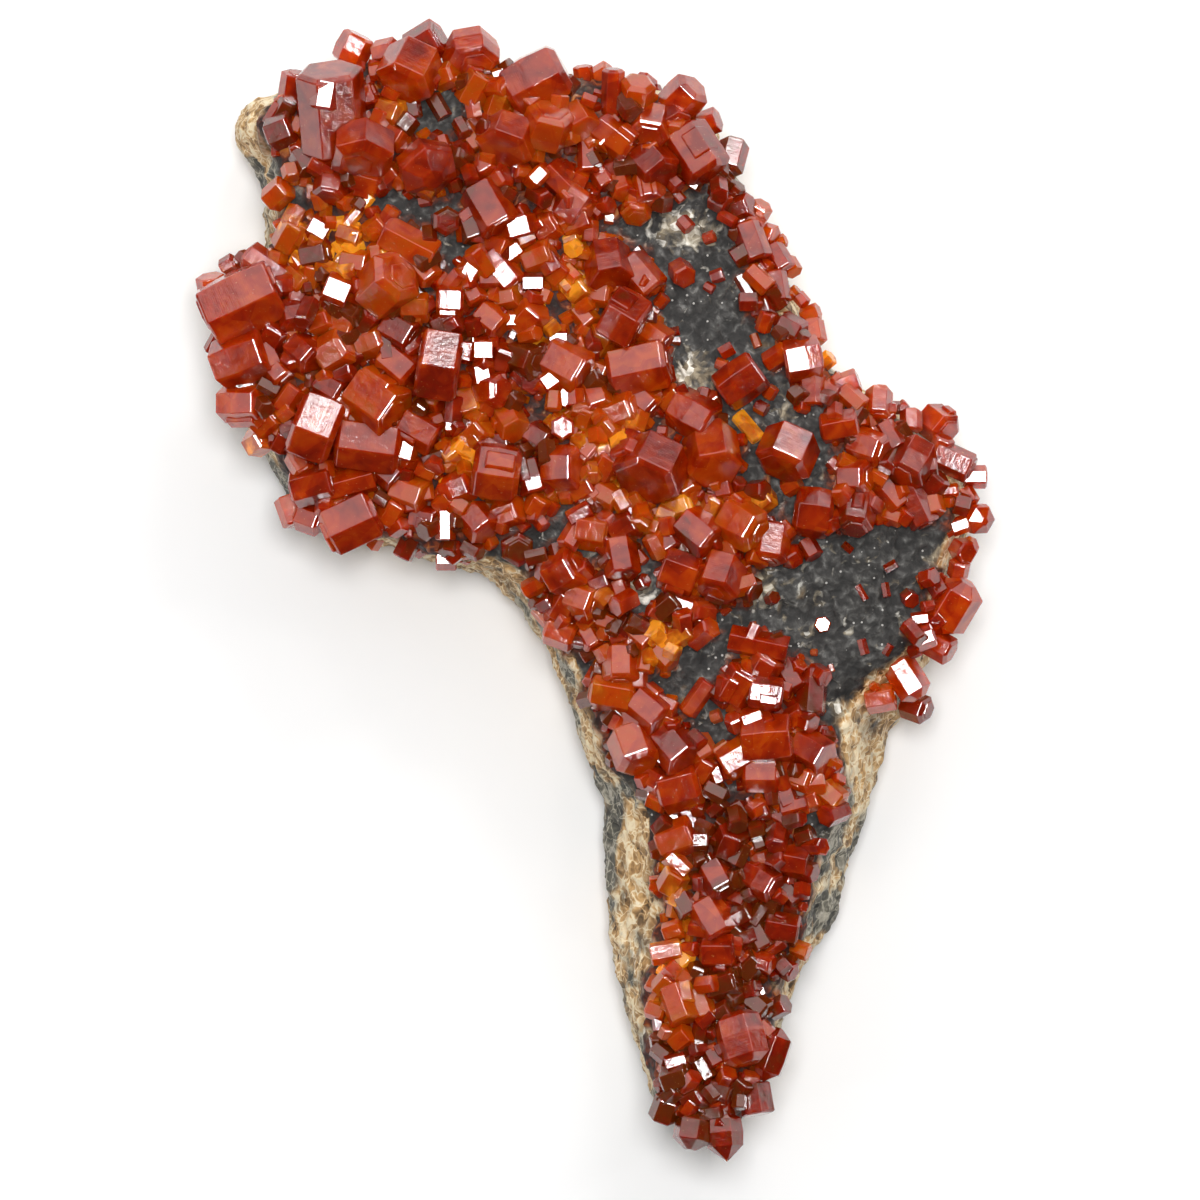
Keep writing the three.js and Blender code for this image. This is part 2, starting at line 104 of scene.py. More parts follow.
# The crystals that have been placed one by one, by the CAD node that they belong to, with the
# values of Crystal in their order.
CLUSTERS = {}
CLUSTERS["crown_left_cluster"] = [
    (-17.9, 41.2, 2.5, 2.4, 63, 10, RED, 0, 0.2), (-19.3, 36.3, 4.5, 6.6, 94, 25, RED, 12, 0, 0.08),
    (-17.1, 33.3, 4.5, 3.2, -90, 35, RED, 20, 0.3), (-12.2, 32.0, 4.2, 3.6, -60, 50, RED, 15, 0, 0.3),
    (-13.5, 39.3, 4.0, 3.6, -115, 35, RED), (-8.9, 40.7, 3.9, 2.6, -80, 40, RED),
    (-12.4, 41.5, 2.7, 2.7, 30, 20), (-15.4, 41.0, 1.8, 1.7, 10, 30), (-22.3, 38.2, 2.0, 2.3, 80, 20),
    (-23.0, 36.5, 1.4, 1.6, 60, 20, BROWN), (-23.2, 34.9, 2.3, 2.2, 20, 20),
    (-19.4, 30.8, 2.4, 2.6, -100, 30), (-17.1, 31.0, 2.0, 2.7, -15, 5, ANY, 16),
    (-16.7, 37.4, 1.4, 1.6, -70, 20, ANY, 0, 0.3), (-15.0, 36.2, 2.0, 2.1, -20, 30, AMBER),
    (-13.4, 36.7, 1.2, 2.0, -80, 10, BROWN), (-11.4, 36.7, 1.1, 2.0, -60, 10, BROWN),
    (-21.4, 32.6, 1.9, 2.1, -60, 20), (-10.9, 39.0, 1.8, 2.0, 20, 30, AMBER),
    (-15.2, 31.4, 1.7, 1.9, 40, 20), (-14.6, 34.4, 1.8, 1.9, -30, 30, ORANGE),
    (-19.8, 37.3, 1.8, 2.3, 80, 1.5, RED, 3, 4.1),
]
CLUSTERS["crown_right_cluster"] = [
    (-4.1, 38.6, 4.2, 4.8, 28, 5, RED, -22, 0.3), (-3.2, 35.2, 3.4, 3.1, 70, 40, ORANGE, 10),
    (-6.2, 34.2, 4.0, 2.7, -110, 35, RED), (3.5, 37.6, 2.4, 2.7, 80, 40, ORANGE),
    (6.9, 37.3, 3.0, 3.3, 45, 25, RED), (4.5, 35.2, 2.8, 2.7, -100, 50, RED),
    (1.8, 34.4, 2.4, 3.3, -38, 10, ANY, 10), (4.7, 32.3, 3.0, 3.0, -50, 35),
    (8.0, 33.3, 3.3, 4.3, -58, 15, RED, 5, 0.2), (10.7, 33.1, 2.1, 2.7, -105, 25),
    (-0.8, 35.6, 2.3, 2.3, -60, 40), (1.7, 37.8, 1.5, 3.6, 88, 15), (4.3, 30.3, 2.5, 2.3, -80, 30),
    (3.5, 29.0, 2.1, 1.8, -100, 40), (2.3, 30.8, 1.7, 2.1, -70, 35), (2.1, 32.2, 1.5, 1.8, 20, 20),
    (6.2, 36.0, 2.1, 2.1, -60, 40), (8.8, 35.6, 1.8, 2.0, 20, 20), (10.1, 31.2, 1.4, 1.5, 40, 20, BROWN),
    (6.4, 31.1, 1.1, 1.2, 0, 30), (-0.2, 33.2, 1.4, 3.1, -88, 20), (-8.6, 38.0, 2.1, 2.5, 60, 15, AMBER),
    (-3.9, 31.4, 2.1, 1.3, -45, 0, RED, 0, 0.5), (-9.0, 34.4, 1.5, 2.3, -60, 10),
    (-6.8, 31.3, 1.8, 1.8, 30, 40), (-5.4, 31.9, 1.4, 1.5, 80, 30), (-8.0, 32.2, 1.7, 1.8, -60, 30),
    (-2.3, 31.2, 2.2, 2.6, -45, 5, ANY, 18), (0.8, 39.2, 1.7, 1.9, 30, 20, AMBER),
    (-6.9, 37.0, 1.8, 2.2, 70, 20, AMBER), (0.9, 31.4, 1.5, 1.9, -60, 20),
]
CLUSTERS["upper_middle_cluster"] = [
    (-7.5, 29.0, 3.0, 3.7, -60, 20, RED), (-5.4, 27.6, 2.5, 1.7, -75, 0, RED, 0, 0.5),
    (-1.3, 29.4, 2.5, 3.0, 55, 10, RED), (-6.8, 24.4, 2.2, 3.3, -50, 5), (-3.2, 27.7, 2.0, 2.0, 30, 20),
    (-1.3, 26.7, 1.1, 1.2, 10, 30, GOLD), (-0.9, 28.1, 1.9, 2.2, 20, 20, ORANGE),
    (-3.8, 25.4, 2.2, 2.3, 20, 20, ORANGE), (-4.3, 23.4, 1.6, 1.6, 0, 0, ANY, 0, 0.2),
    (-5.9, 25.7, 1.6, 1.6, 35, 0, ANY, 0, 0.2), (0.5, 29.0, 1.2, 1.4, -40, 20),
    (-8.9, 24.4, 1.8, 1.9, 60, 0, ANY, 0, 0.2), (-6.9, 26.2, 1.7, 1.9, -20, 30, ORANGE),
    (-2.4, 24.2, 1.6, 1.8, 50, 20, ORANGE), (-8.9, 27.4, 1.7, 1.9, -70, 20, BROWN),
]
CLUSTERS["left_ledge_cluster"] = [
    (-13.6, 26.2, 2.5, 4.4, -28, 5, ORANGE, 22), (-15.2, 23.2, 3.9, 3.7, 40, 45, ORANGE, 14),
    (-19.0, 22.8, 2.5, 2.0, -22, 0, RED, 0, 0.3), (-20.4, 27.5, 1.8, 1.6, -30, 0, RED, 0, 0.3),
    (-22.6, 27.0, 2.2, 2.4, 60, 20, AMBER), (-20.6, 25.6, 2.1, 2.2, 10, 20, DEEP),
    (-17.4, 28.8, 0.8, 3.0, 50, 5, GOLD, 0, 0.2), (-18.0, 27.0, 1.6, 1.8, -20, 20, AMBER),
    (-16.1, 27.5, 1.6, 1.8, 40, 20, AMBER), (-22.1, 23.6, 1.8, 2.0, -40, 30, AMBER),
    (-17.6, 24.9, 1.8, 2.0, -10, 20, ORANGE), (-21.0, 24.0, 1.5, 1.7, 80, 20, AMBER),
    (-12.4, 24.2, 1.8, 2.0, -50, 20, ORANGE), (-17.3, 21.6, 1.8, 2.0, -30, 30, ORANGE),
    (-21.6, 25.0, 1.1, 1.9, -25, 10, GOLD, 10, 0.5), (-19.6, 24.5, 1.0, 2.2, -15, 5, GOLD, 20, 0.6),
    (-17.2, 23.6, 1.1, 2.3, -30, 10, GOLD, 15, 0.5), (-15.8, 25.2, 0.9, 1.5, 50, 20, GOLD, 0, 0.5),
]
CLUSTERS["left_lobe_cluster"] = [
    (-26.2, 22.0, 4.6, 5.8, 25, 5, RED, -20, 0.2), (-28.7, 23.2, 2.0, 2.0, 100, 20),
    (-24.4, 24.7, 2.0, 3.6, -35, 5), (-26.2, 17.8, 3.7, 4.2, 20, 20, RED),
    (-26.2, 14.4, 2.7, 3.3, 0, 30, ORANGE), (-21.6, 18.2, 2.5, 2.6, -40, 30, DEEP),
    (-19.1, 18.3, 2.7, 2.6, 30, 30, ORANGE), (-27.4, 25.0, 1.2, 1.3, 30, 20),
    (-26.2, 25.3, 1.2, 1.3, -40, 20), (-22.3, 20.9, 2.2, 2.4, -80, 35), (-28.3, 18.9, 1.3, 1.5, 60, 20),
    (-22.8, 14.8, 1.8, 2.3, 55, 10), (-24.0, 19.4, 2.2, 2.3, 60, 30),
    (-18.4, 20.2, 2.0, 2.1, -20, 30, ORANGE), (-20.2, 20.6, 1.8, 2.0, 20, 30, ORANGE),
    (-23.6, 16.8, 2.0, 2.2, -50, 20), (-24.3, 13.0, 1.9, 2.1, 40, 30, ORANGE),
]
CLUSTERS["left_lower_cluster"] = [
    (-20.6, 12.5, 4.9, 3.4, -21, 0, RED, -24, 0.7), (-16.0, 14.5, 3.7, 3.9, -35, 25, ORANGE),
    (-16.7, 11.2, 3.6, 4.9, -8, 0, RED, -20, 0.2), (-12.8, 12.3, 2.7, 3.0, -30, 10, RED),
    (-20.9, 8.2, 2.5, 3.3, 15, 10, RED), (-18.0, 5.4, 3.6, 4.2, 25, 4, RED, -20),
    (-13.6, 7.6, 2.4, 2.6, -20, 20, ORANGE), (-15.2, 9.2, 2.1, 2.2, -40, 20, RED, 0, 0.1),
    (-18.0, 8.4, 2.0, 3.7, 15, 5, RED, 16, 0.2), (-23.3, 11.5, 1.5, 1.6, 60, 20),
    (-11.5, 10.2, 1.8, 1.9, 20, 20, BROWN), (-19.5, 15.5, 2.2, 2.3, -30, 20),
    (-18.8, 6.9, 1.5, 3.0, 20, 0, ANY, 20, 0.1), (-22.7, 6.3, 1.8, 2.3, -70, 10),
    (-21.2, 5.7, 2.0, 2.1, -20, 20), (-14.9, 6.2, 1.9, 2.1, 60, 20, ORANGE),
    (-12.5, 5.6, 1.9, 2.0, -10, 20), (-10.9, 5.2, 1.4, 2.3, 90, 0, RED, 0, 0.4),
    (-12.9, 3.9, 1.8, 1.8, 30, 20), (-10.9, 2.8, 1.8, 1.6, 0, 0, RED, 0, 0.2),
    (-13.9, 10.0, 1.7, 1.9, 50, 10, ANY, -15), (-21.9, 9.9, 1.7, 1.9, -60, 20),
    (-10.9, 7.0, 1.7, 1.8, 40, 30, ORANGE),
]
CLUSTERS["centre_cluster"] = [
    (-11.3, 17.2, 5.4, 3.0, -9, 0, RED, -26, 0.5), (-10.5, 22.0, 2.5, 2.1, -2, 0, RED, 0, 0.3),
    (-4.9, 17.6, 2.5, 2.6, -20, 40, BROWN), (-1.7, 17.2, 3.2, 3.2, -30, 20, RED),
    (-7.4, 15.2, 2.4, 2.6, 0, 50, RED), (-4.6, 20.8, 2.4, 2.4, 50, 30, ORANGE),
    (-10.7, 20.4, 2.1, 2.2, 30, 20), (-13.1, 21.5, 2.0, 2.1, 0, 10, ANY, 0, 0.2),
    (-5.9, 20.6, 1.4, 1.3, 0, 0, ANY, 0, 0.4), (-8.0, 18.3, 2.0, 1.5, 0, 0, RED, 0, 0.4),
    (-8.1, 16.5, 1.7, 1.5, -80, 0, RED, 0, 0.3), (-4.4, 16.0, 1.8, 1.8, 0, 80),
    (-2.9, 16.1, 1.8, 1.7, 35, 0, RED, 0, 0.4), (-1.9, 14.9, 1.5, 1.5, 60, 0, ANY, 0, 0.2),
    (-1.0, 18.8, 1.5, 1.6, 20, 20), (-2.4, 19.2, 1.4, 1.4, 0, 0, ANY, 0, 0.2),
    (-7.4, 20.6, 2.2, 2.4, -40, 20, ORANGE), (-14.3, 19.8, 2.5, 2.6, -30, 20),
    (-14.4, 17.2, 2.7, 3.0, -40, 15), (-10.3, 12.8, 1.7, 1.2, 0, 0, RED, 0, 0.3),
    (-16.4, 19.0, 2.2, 2.3, 20, 25, ORANGE), (-9.2, 14.4, 1.8, 2.0, -70, 20, AMBER),
    (-11.9, 14.7, 1.8, 2.0, -20, 30), (-6.5, 17.8, 1.7, 1.9, 70, 30),
    (-8.8, 22.6, 1.6, 1.8, -60, 20, ORANGE), (-6.2, 22.4, 1.7, 1.9, 10, 30, AMBER),
    (-12.4, 19.0, 1.6, 1.8, 40, 20),
]
CLUSTERS["centre_lower_cluster"] = [
    (-7.0, 9.3, 4.3, 3.6, -9, 0, RED, -18, 0.3), (-2.0, 9.5, 3.0, 2.7, 0, 30, RED),
    (-2.1, 12.5, 1.7, 1.8, 0, 85), (-9.9, 8.0, 2.3, 2.6, 20, 30, RED), (-8.4, 5.4, 2.4, 2.4, -50, 30, RED),
    (-4.4, 8.8, 2.2, 2.6, -75, 10), (-3.9, 11.8, 1.8, 2.0, -30, 20),
    (-6.0, 13.0, 2.3, 2.4, -60, 40, ORANGE), (-8.6, 12.2, 2.2, 2.3, 40, 30, AMBER),
    (-6.1, 6.2, 2.0, 2.2, 20, 30, RED), (-10.6, 10.6, 1.9, 2.0, -50, 30, AMBER),
    (-4.0, 6.7, 1.7, 1.8, 60, 20), (-0.3, 11.0, 1.9, 2.0, -40, 20, ORANGE),
    (-0.5, 7.9, 1.8, 2.0, 30, 20, ORANGE), (-0.4, 13.4, 1.6, 1.8, 70, 30, AMBER),
    (-6.8, 11.6, 1.6, 1.8, 10, 20), (-9.6, 3.9, 1.7, 1.8, -20, 20, ORANGE),
]
CLUSTERS["centre_right_cluster"] = [
    (1.4, 24.7, 3.3, 3.0, -80, 35, RED), (3.8, 24.0, 2.5, 3.3, -50, 10, RED),
    (2.6, 20.6, 4.1, 2.9, -31, 8, RED, 24, 0.4), (3.7, 17.0, 3.7, 4.6, 12, 10, RED, -20, 0.1),
    (2.4, 13.8, 2.4, 2.6, 20, 30, ORANGE), (4.9, 19.4, 2.0, 2.3, -35, 20, ORANGE),
    (4.0, 14.6, 2.2, 2.4, -40, 20, RED), (0.8, 19.1, 2.0, 2.2, 60, 30, ORANGE),
    (0.5, 14.8, 2.0, 2.2, -70, 30, ORANGE), (1.2, 12.4, 1.9, 2.1, 40, 30, AMBER),
    (0.9, 22.6, 1.9, 2.0, -10, 30, ORANGE), (2.1, 22.5, 1.5, 1.7, 50, 20),
    (0.6, 16.8, 1.7, 1.9, -20, 20, ORANGE), (-0.9, 22.9, 1.7, 1.8, 40, 20, AMBER),
    (-0.4, 20.9, 1.6, 1.8, -50, 20, AMBER),
]
CLUSTERS["heart_cluster"] = [
    (4.7, 9.5, 4.9, 3.4, -115, 35, RED, 0, 0.3), (7.8, 13.5, 3.1, 3.5, -30, 20, RED),
    (9.2, 10.6, 3.6, 3.7, -80, 40, RED), (6.2, 14.7, 1.8, 2.0, 40, 20, ORANGE),
    (1.2, 9.6, 1.9, 2.2, 60, 20, ORANGE), (1.3, 7.4, 1.8, 2.0, -30, 20, AMBER),
    (6.6, 6.6, 1.8, 2.0, 20, 20, AMBER), (7.2, 8.2, 1.7, 1.9, -60, 30),
    (3.2, 6.9, 1.7, 1.9, 30, 20, AMBER), (3.1, 12.0, 1.7, 1.9, 60, 20), (9.9, 7.9, 1.6, 1.8, 10, 20),
]
CLUSTERS["lower_band_cluster"] = [
    (11.4, 5.2, 3.3, 3.3, -30, 30, ORANGE, 0, 0.4), (13.6, 3.8, 2.7, 3.0, -100, 20, RED, 0, 0.1),
    (8.1, 4.6, 3.0, 3.0, -40, 20, RED), (6.7, 1.6, 2.8, 2.8, -20, 3, RED, 10, 0.2),
    (9.8, 1.3, 3.1, 3.0, -110, 30, RED, 14), (7.4, -1.1, 2.0, 2.7, -20, 5, RED),
    (8.7, -2.0, 1.3, 1.3, 0, 20, AMBER), (12.8, 7.1, 2.0, 2.1, 40, 20, AMBER),
    (11.9, 0.5, 1.7, 1.8, -30, 30, BROWN), (9.2, 6.6, 1.6, 1.8, 60, 20, AMBER),
    (5.8, 4.0, 1.8, 1.9, -60, 20), (10.2, 3.4, 1.7, 1.9, 20, 20, ORANGE),
    (5.9, -0.9, 1.9, 2.1, 40, 20, BROWN), (4.5, 5.2, 1.6, 1.8, -20, 20, AMBER),
]
CLUSTERS["notch_cluster"] = [
    (-1.9, 1.7, 3.0, 2.7, 30, 30, RED), (-0.5, -0.4, 2.5, 2.5, -20, 30, ORANGE),
    (-2.2, -2.9, 2.1, 2.4, -20, 10, ORANGE), (2.3, 2.7, 2.4, 2.8, -80, 20, RED),
    (0.2, 4.7, 2.6, 2.3, -10, 10, ORANGE), (-1.9, -0.9, 2.1, 2.2, 60, 20, RED),
    (0.8, 0.9, 1.5, 1.6, 20, 20), (2.3, 0.2, 1.4, 1.6, -70, 20), (2.6, 5.1, 2.1, 2.2, 30, 20, RED),
    (0.0, -3.3, 1.5, 1.8, -60, 20, ORANGE), (-3.6, -1.7, 0.9, 1.7, -50, 10, AMBER),
    (-0.2, -2.0, 1.4, 1.5, 40, 20), (-3.2, 1.9, 1.6, 1.7, 80, 20, ORANGE), (1.2, 3.7, 1.4, 1.5, 50, 20),
]
CLUSTERS["tail_left_cluster"] = [
    (2.3, -5.3, 2.5, 2.7, -90, 20, ORANGE), (1.7, -7.4, 2.8, 3.3, -10, 5, ORANGE, 14),
    (4.5, -8.7, 2.7, 2.7, -40, 20, RED), (3.4, -11.6, 3.3, 3.2, -70, 30, ORANGE),
    (6.4, -11.6, 3.0, 3.0, -50, 30, RED), (6.8, -14.7, 3.0, 3.3, 15, 10, RED),
    (2.8, -2.4, 1.3, 1.5, 60, 10), (1.4, -2.1, 1.4, 1.6, -20, 20, ORANGE),
    (3.7, -3.1, 1.5, 2.0, -40, 20, ORANGE), (4.2, -5.0, 1.4, 2.0, -100, 15, AMBER),
    (5.6, -4.7, 1.6, 2.0, -45, 20, AMBER), (6.7, -3.1, 1.7, 2.2, 30, 20, AMBER),
    (5.2, -2.6, 1.4, 1.6, -70, 20, AMBER), (1.8, -9.2, 1.5, 1.6, 50, 20), (3.6, -6.2, 1.3, 2.0, -90, 10),
    (3.4, -9.5, 1.8, 2.0, -10, 30), (8.4, -11.6, 1.8, 2.0, -60, 20, ORANGE),
    (4.9, -14.0, 2.0, 2.2, -30, 30, RED), (4.9, -10.4, 1.5, 1.6, 20, 0, ANY, 0, 0.3),
    (8.6, -13.2, 1.7, 1.9, 60, 20), (5.8, -9.8, 1.6, 1.7, 70, 20),
]
CLUSTERS["tail_right_cluster"] = [
    (12.7, -3.8, 2.0, 4.5, -12, 5, RED, 14), (11.2, -6.8, 2.5, 2.6, 60, 20, RED),
    (13.2, -7.4, 2.4, 2.4, -8, 0, RED, 0, 0.9), (16.7, -7.3, 2.1, 3.4, -95, 8, DEEP, -16),
    (13.4, -11.0, 3.6, 3.7, 5, 10, RED, 14), (11.1, -12.3, 2.5, 2.7, 30, 3, ORANGE, 0, 0.3),
    (16.7, -11.9, 2.7, 2.7, -30, 30, RED), (13.0, -5.7, 2.3, 2.4, 60, 20, RED),
    (12.2, -9.4, 1.7, 1.6, 20, 0, RED, 0, 0.6), (12.9, -13.6, 2.5, 2.8, 0, 5, RED, -14, 0.1),
    (14.4, -13.4, 1.7, 2.8, 90, 5, ANY, 20, 0.1), (16.0, -13.8, 1.9, 2.0, -20, 30),
    (17.9, -13.2, 1.2, 1.4, 50, 20), (18.2, -15.2, 1.9, 2.1, -40, 20, AMBER),
    (15.1, -6.2, 1.8, 2.4, -60, 20, DEEP), (15.4, -9.4, 1.7, 1.9, 30, 20, RED),
    (14.8, -15.3, 1.6, 1.8, -70, 20), (16.5, -15.6, 1.5, 1.7, 20, 20), (10.0, -7.6, 1.5, 1.7, -40, 20),
]
CLUSTERS["tail_middle_cluster"] = [
    (6.6, -18.4, 2.6, 2.8, 20, 20, ORANGE), (10.6, -18.6, 2.3, 2.4, 70, 40, DEEP),
    (9.7, -21.5, 2.4, 2.6, -60, 30, DEEP), (15.1, -20.1, 2.3, 2.7, -10, 10, RED, 10),
    (12.9, -21.6, 2.4, 2.8, -30, 30, DEEP), (9.2, -24.5, 2.5, 3.0, -60, 20, RED),
    (14.5, -25.2, 2.3, 2.6, -10, 5, DEEP, 12), (9.7, -27.0, 2.5, 2.7, 0, 10, RED, 8),
    (8.3, -18.5, 1.5, 1.3, 0, 0, DEEP, 0, 0.9), (7.6, -17.0, 1.4, 2.0, -60, 10, RED),
    (12.6, -18.5, 1.3, 1.8, -70, 20, BROWN), (11.5, -21.4, 1.7, 1.7, 40, 40, BROWN),
    (14.0, -18.2, 1.4, 1.6, -50, 20, DEEP), (16.2, -18.2, 1.3, 1.5, 20, 20, BROWN),
    (6.3, -21.6, 1.9, 2.0, 60, 30, AMBER), (6.3, -25.4, 1.4, 1.5, 20, 20, AMBER),
    (6.8, -27.4, 1.6, 1.8, -40, 20, GOLD), (8.0, -28.6, 1.5, 1.6, 70, 20, BROWN),
    (12.8, -26.0, 1.8, 2.0, -60, 20, BROWN), (11.6, -24.2, 1.6, 1.7, 30, 30, DEEP),
    (15.9, -26.9, 1.2, 1.4, -20, 20, AMBER), (12.2, -28.0, 1.8, 2.0, 50, 20, BROWN),
    (14.8, -28.3, 1.4, 1.6, -30, 30, DEEP), (7.2, -23.5, 1.6, 1.8, -60, 20, BROWN),
    (13.6, -23.4, 1.5, 1.7, 70, 20, BROWN), (15.2, -22.6, 1.4, 1.6, -50, 20, DEEP),
    (8.2, -20.0, 1.5, 1.6, 20, 20, BROWN), (9.6, -16.0, 1.3, 1.5, 40, 30, DEEP),
    (11.3, -16.4, 1.4, 1.5, -60, 20, BROWN), (12.9, -16.4, 1.4, 1.6, 20, 30, DEEP),
    (14.5, -16.8, 1.3, 1.5, -30, 20, RED), (8.6, -22.9, 1.2, 1.4, 60, 30, DEEP),
    (11.2, -22.9, 1.2, 1.4, -20, 30, RED), (10.9, -25.6, 1.3, 1.5, 50, 20, BROWN),
    (12.9, -19.9, 1.2, 1.4, 10, 30, RED), (11.4, -27.2, 1.2, 1.4, -50, 20, DEEP),
]
CLUSTERS["tail_end_cluster"] = [
    (6.7, -30.9, 2.3, 3.0, -70, 20, ORANGE, 15), (11.4, -33.4, 3.3, 4.0, -75, 15, RED, 15, 0.5, 0.2),
    (13.6, -34.7, 2.5, 4.2, -110, 5, DEEP, -22, 0, 0.4), (6.6, -36.4, 2.2, 2.4, 20, 20, BROWN),
    (12.5, -38.1, 2.2, 2.4, -80, 10, DEEP, 14), (7.8, -40.4, 2.7, 3.0, -100, 10, BROWN, 16, 0, 0.35),
    (10.1, -40.7, 2.5, 4.1, -85, 10, DEEP, 12, 0.2, 0.5), (10.1, -29.3, 2.2, 2.3, 20, 20, BROWN),
    (5.6, -29.4, 1.5, 1.7, 50, 20, AMBER), (5.0, -31.4, 1.4, 1.6, -20, 20, AMBER),
    (8.4, -30.8, 1.5, 2.4, -70, 15, ORANGE), (6.9, -33.4, 1.6, 1.7, 40, 30, ORANGE),
    (8.3, -33.2, 1.2, 2.0, 80, 10, BROWN), (8.6, -35.8, 1.4, 1.7, -60, 10, BROWN),
    (7.9, -37.9, 1.8, 1.9, 30, 30, DEEP), (5.7, -38.8, 1.9, 2.0, 70, 20, BROWN),
    (9.9, -37.4, 1.7, 1.8, -20, 20, BROWN), (11.1, -37.2, 1.6, 1.8, 50, 20, BROWN),
    (12.6, -31.0, 1.7, 1.9, -40, 20, BROWN), (14.2, -31.2, 1.4, 1.6, 30, 30, BROWN),
    (9.3, -39.0, 1.4, 1.6, 10, 20, DEEP), (10.0, -31.4, 1.3, 1.5, 30, 30, DEEP),
    (5.4, -34.6, 1.3, 1.5, -40, 20, BROWN), (11.9, -29.9, 1.4, 1.6, 20, 30, DEEP),
    (9.4, -34.9, 1.3, 1.5, -60, 20, BROWN),
]
CLUSTERS["right_cluster"] = [
    (20.0, 8.8, 2.5, 2.4, 0, 30, RED), (20.0, 6.1, 2.8, 3.0, -100, 35, DEEP),
    (22.4, 7.8, 1.7, 3.3, -50, 5, RED, -16), (24.2, 9.9, 3.0, 3.1, -120, 35, RED),
    (24.6, 6.7, 2.1, 3.4, -65, 8, DEEP, 12), (20.9, 11.1, 2.5, 2.8, -20, 25, RED),
    (18.8, 12.6, 2.2, 2.9, 10, 5, RED, 14), (26.4, 12.9, 2.5, 2.5, -40, 40, RED),
    (27.5, 10.1, 2.1, 3.0, -25, 10, DEEP), (29.4, 5.7, 2.2, 2.2, -30, 60, RED, 0, 0, 0.35),
    (21.8, 14.4, 1.9, 2.5, -95, 30, RED), (20.3, 13.8, 1.2, 2.5, -80, 15, ORANGE),
    (22.7, 11.9, 1.4, 2.3, -60, 20), (24.3, 13.1, 1.5, 1.8, -90, 20), (23.0, 14.1, 0.9, 1.0, 0, 10),
    (23.7, 14.2, 0.8, 0.9, 40, 10), (29.2, 8.9, 1.6, 1.8, 0, 0, RED, 0, 0.2), (27.0, 7.8, 0.9, 1.7, 5, 10),
    (28.7, 7.4, 1.1, 1.3, -60, 20), (28.0, 5.2, 1.2, 1.4, 20, 0, ANY, 0, 0.1),
    (25.9, 8.3, 1.8, 2.0, 50, 20, DEEP), (22.9, 5.9, 1.4, 1.6, -20, 20), (26.6, 11.2, 1.5, 1.6, 70, 20),
    (28.6, 3.6, 1.3, 1.4, 20, 40),
]
CLUSTERS["right_shoulder_cluster"] = [
    (16.0, 17.7, 3.0, 2.7, 10, -3, RED, 0, 0.3), (16.7, 15.4, 1.9, 2.4, -90, 5, RED, 14),
    (19.2, 15.8, 1.7, 2.3, 20, 10, ORANGE), (16.9, 19.8, 1.6, 1.9, -80, 20, ORANGE),
    (18.2, 15.3, 1.5, 1.6, -30, 20), (17.8, 17.6, 1.2, 1.3, 40, 20, AMBER),
    (15.2, 20.0, 1.9, 2.0, -30, 20, DEEP), (16.7, 21.2, 1.2, 1.4, 20, 20), (16.0, 22.3, 0.9, 1.1, -50, 20),
]
CLUSTERS["right_rim_cluster"] = [
    (27.5, -0.9, 3.0, 4.4, 60, 20, RED, 0, 0.1, 0.3), (26.4, -3.9, 2.0, 2.4, -30, 20, RED),
    (25.2, -3.3, 1.6, 1.7, 20, 0, RED, 0, 0.5), (26.3, 0.6, 1.5, 1.7, -60, 20, DEEP),
    (26.2, -2.1, 1.6, 1.8, 40, 20, DEEP), (27.9, 1.9, 1.4, 1.5, 80, 30),
]
CLUSTERS["right_corner_cluster"] = [
    (24.0, -6.4, 2.4, 3.6, -58, 7, RED, 0, 0.3, 0.28), (22.0, -7.9, 1.9, 2.2, 10, 10, ORANGE),
    (24.8, -8.6, 2.0, 2.2, -20, 30, DEEP),
]
CLUSTERS["edge_chain_cluster"] = [
    (11.4, 29.2, 1.7, 1.9, 20, 30), (12.2, 26.6, 2.1, 3.1, -70, 10), (14.3, 25.4, 1.6, 2.2, -60, 20),
    (14.1, 23.2, 1.6, 2.5, -80, 10, DEEP), (11.0, 30.5, 1.1, 1.2, 50, 30), (9.8, 29.6, 1.5, 1.6, -30, 20),
    (12.7, 28.9, 1.6, 1.7, 60, 30), (13.4, 27.3, 1.4, 1.5, -20, 30), (14.4, 26.7, 0.9, 1.0, 20, 20),
    (15.2, 24.8, 1.2, 1.3, -60, 30), (15.4, 22.8, 0.8, 0.9, 40, 20, AMBER),
    (13.0, 21.7, 1.5, 1.7, 20, 30, DEEP), (11.9, 22.9, 0.9, 2.7, -60, 5, DEEP),
    (12.8, 24.5, 1.1, 1.3, 40, 20, DEEP),
]

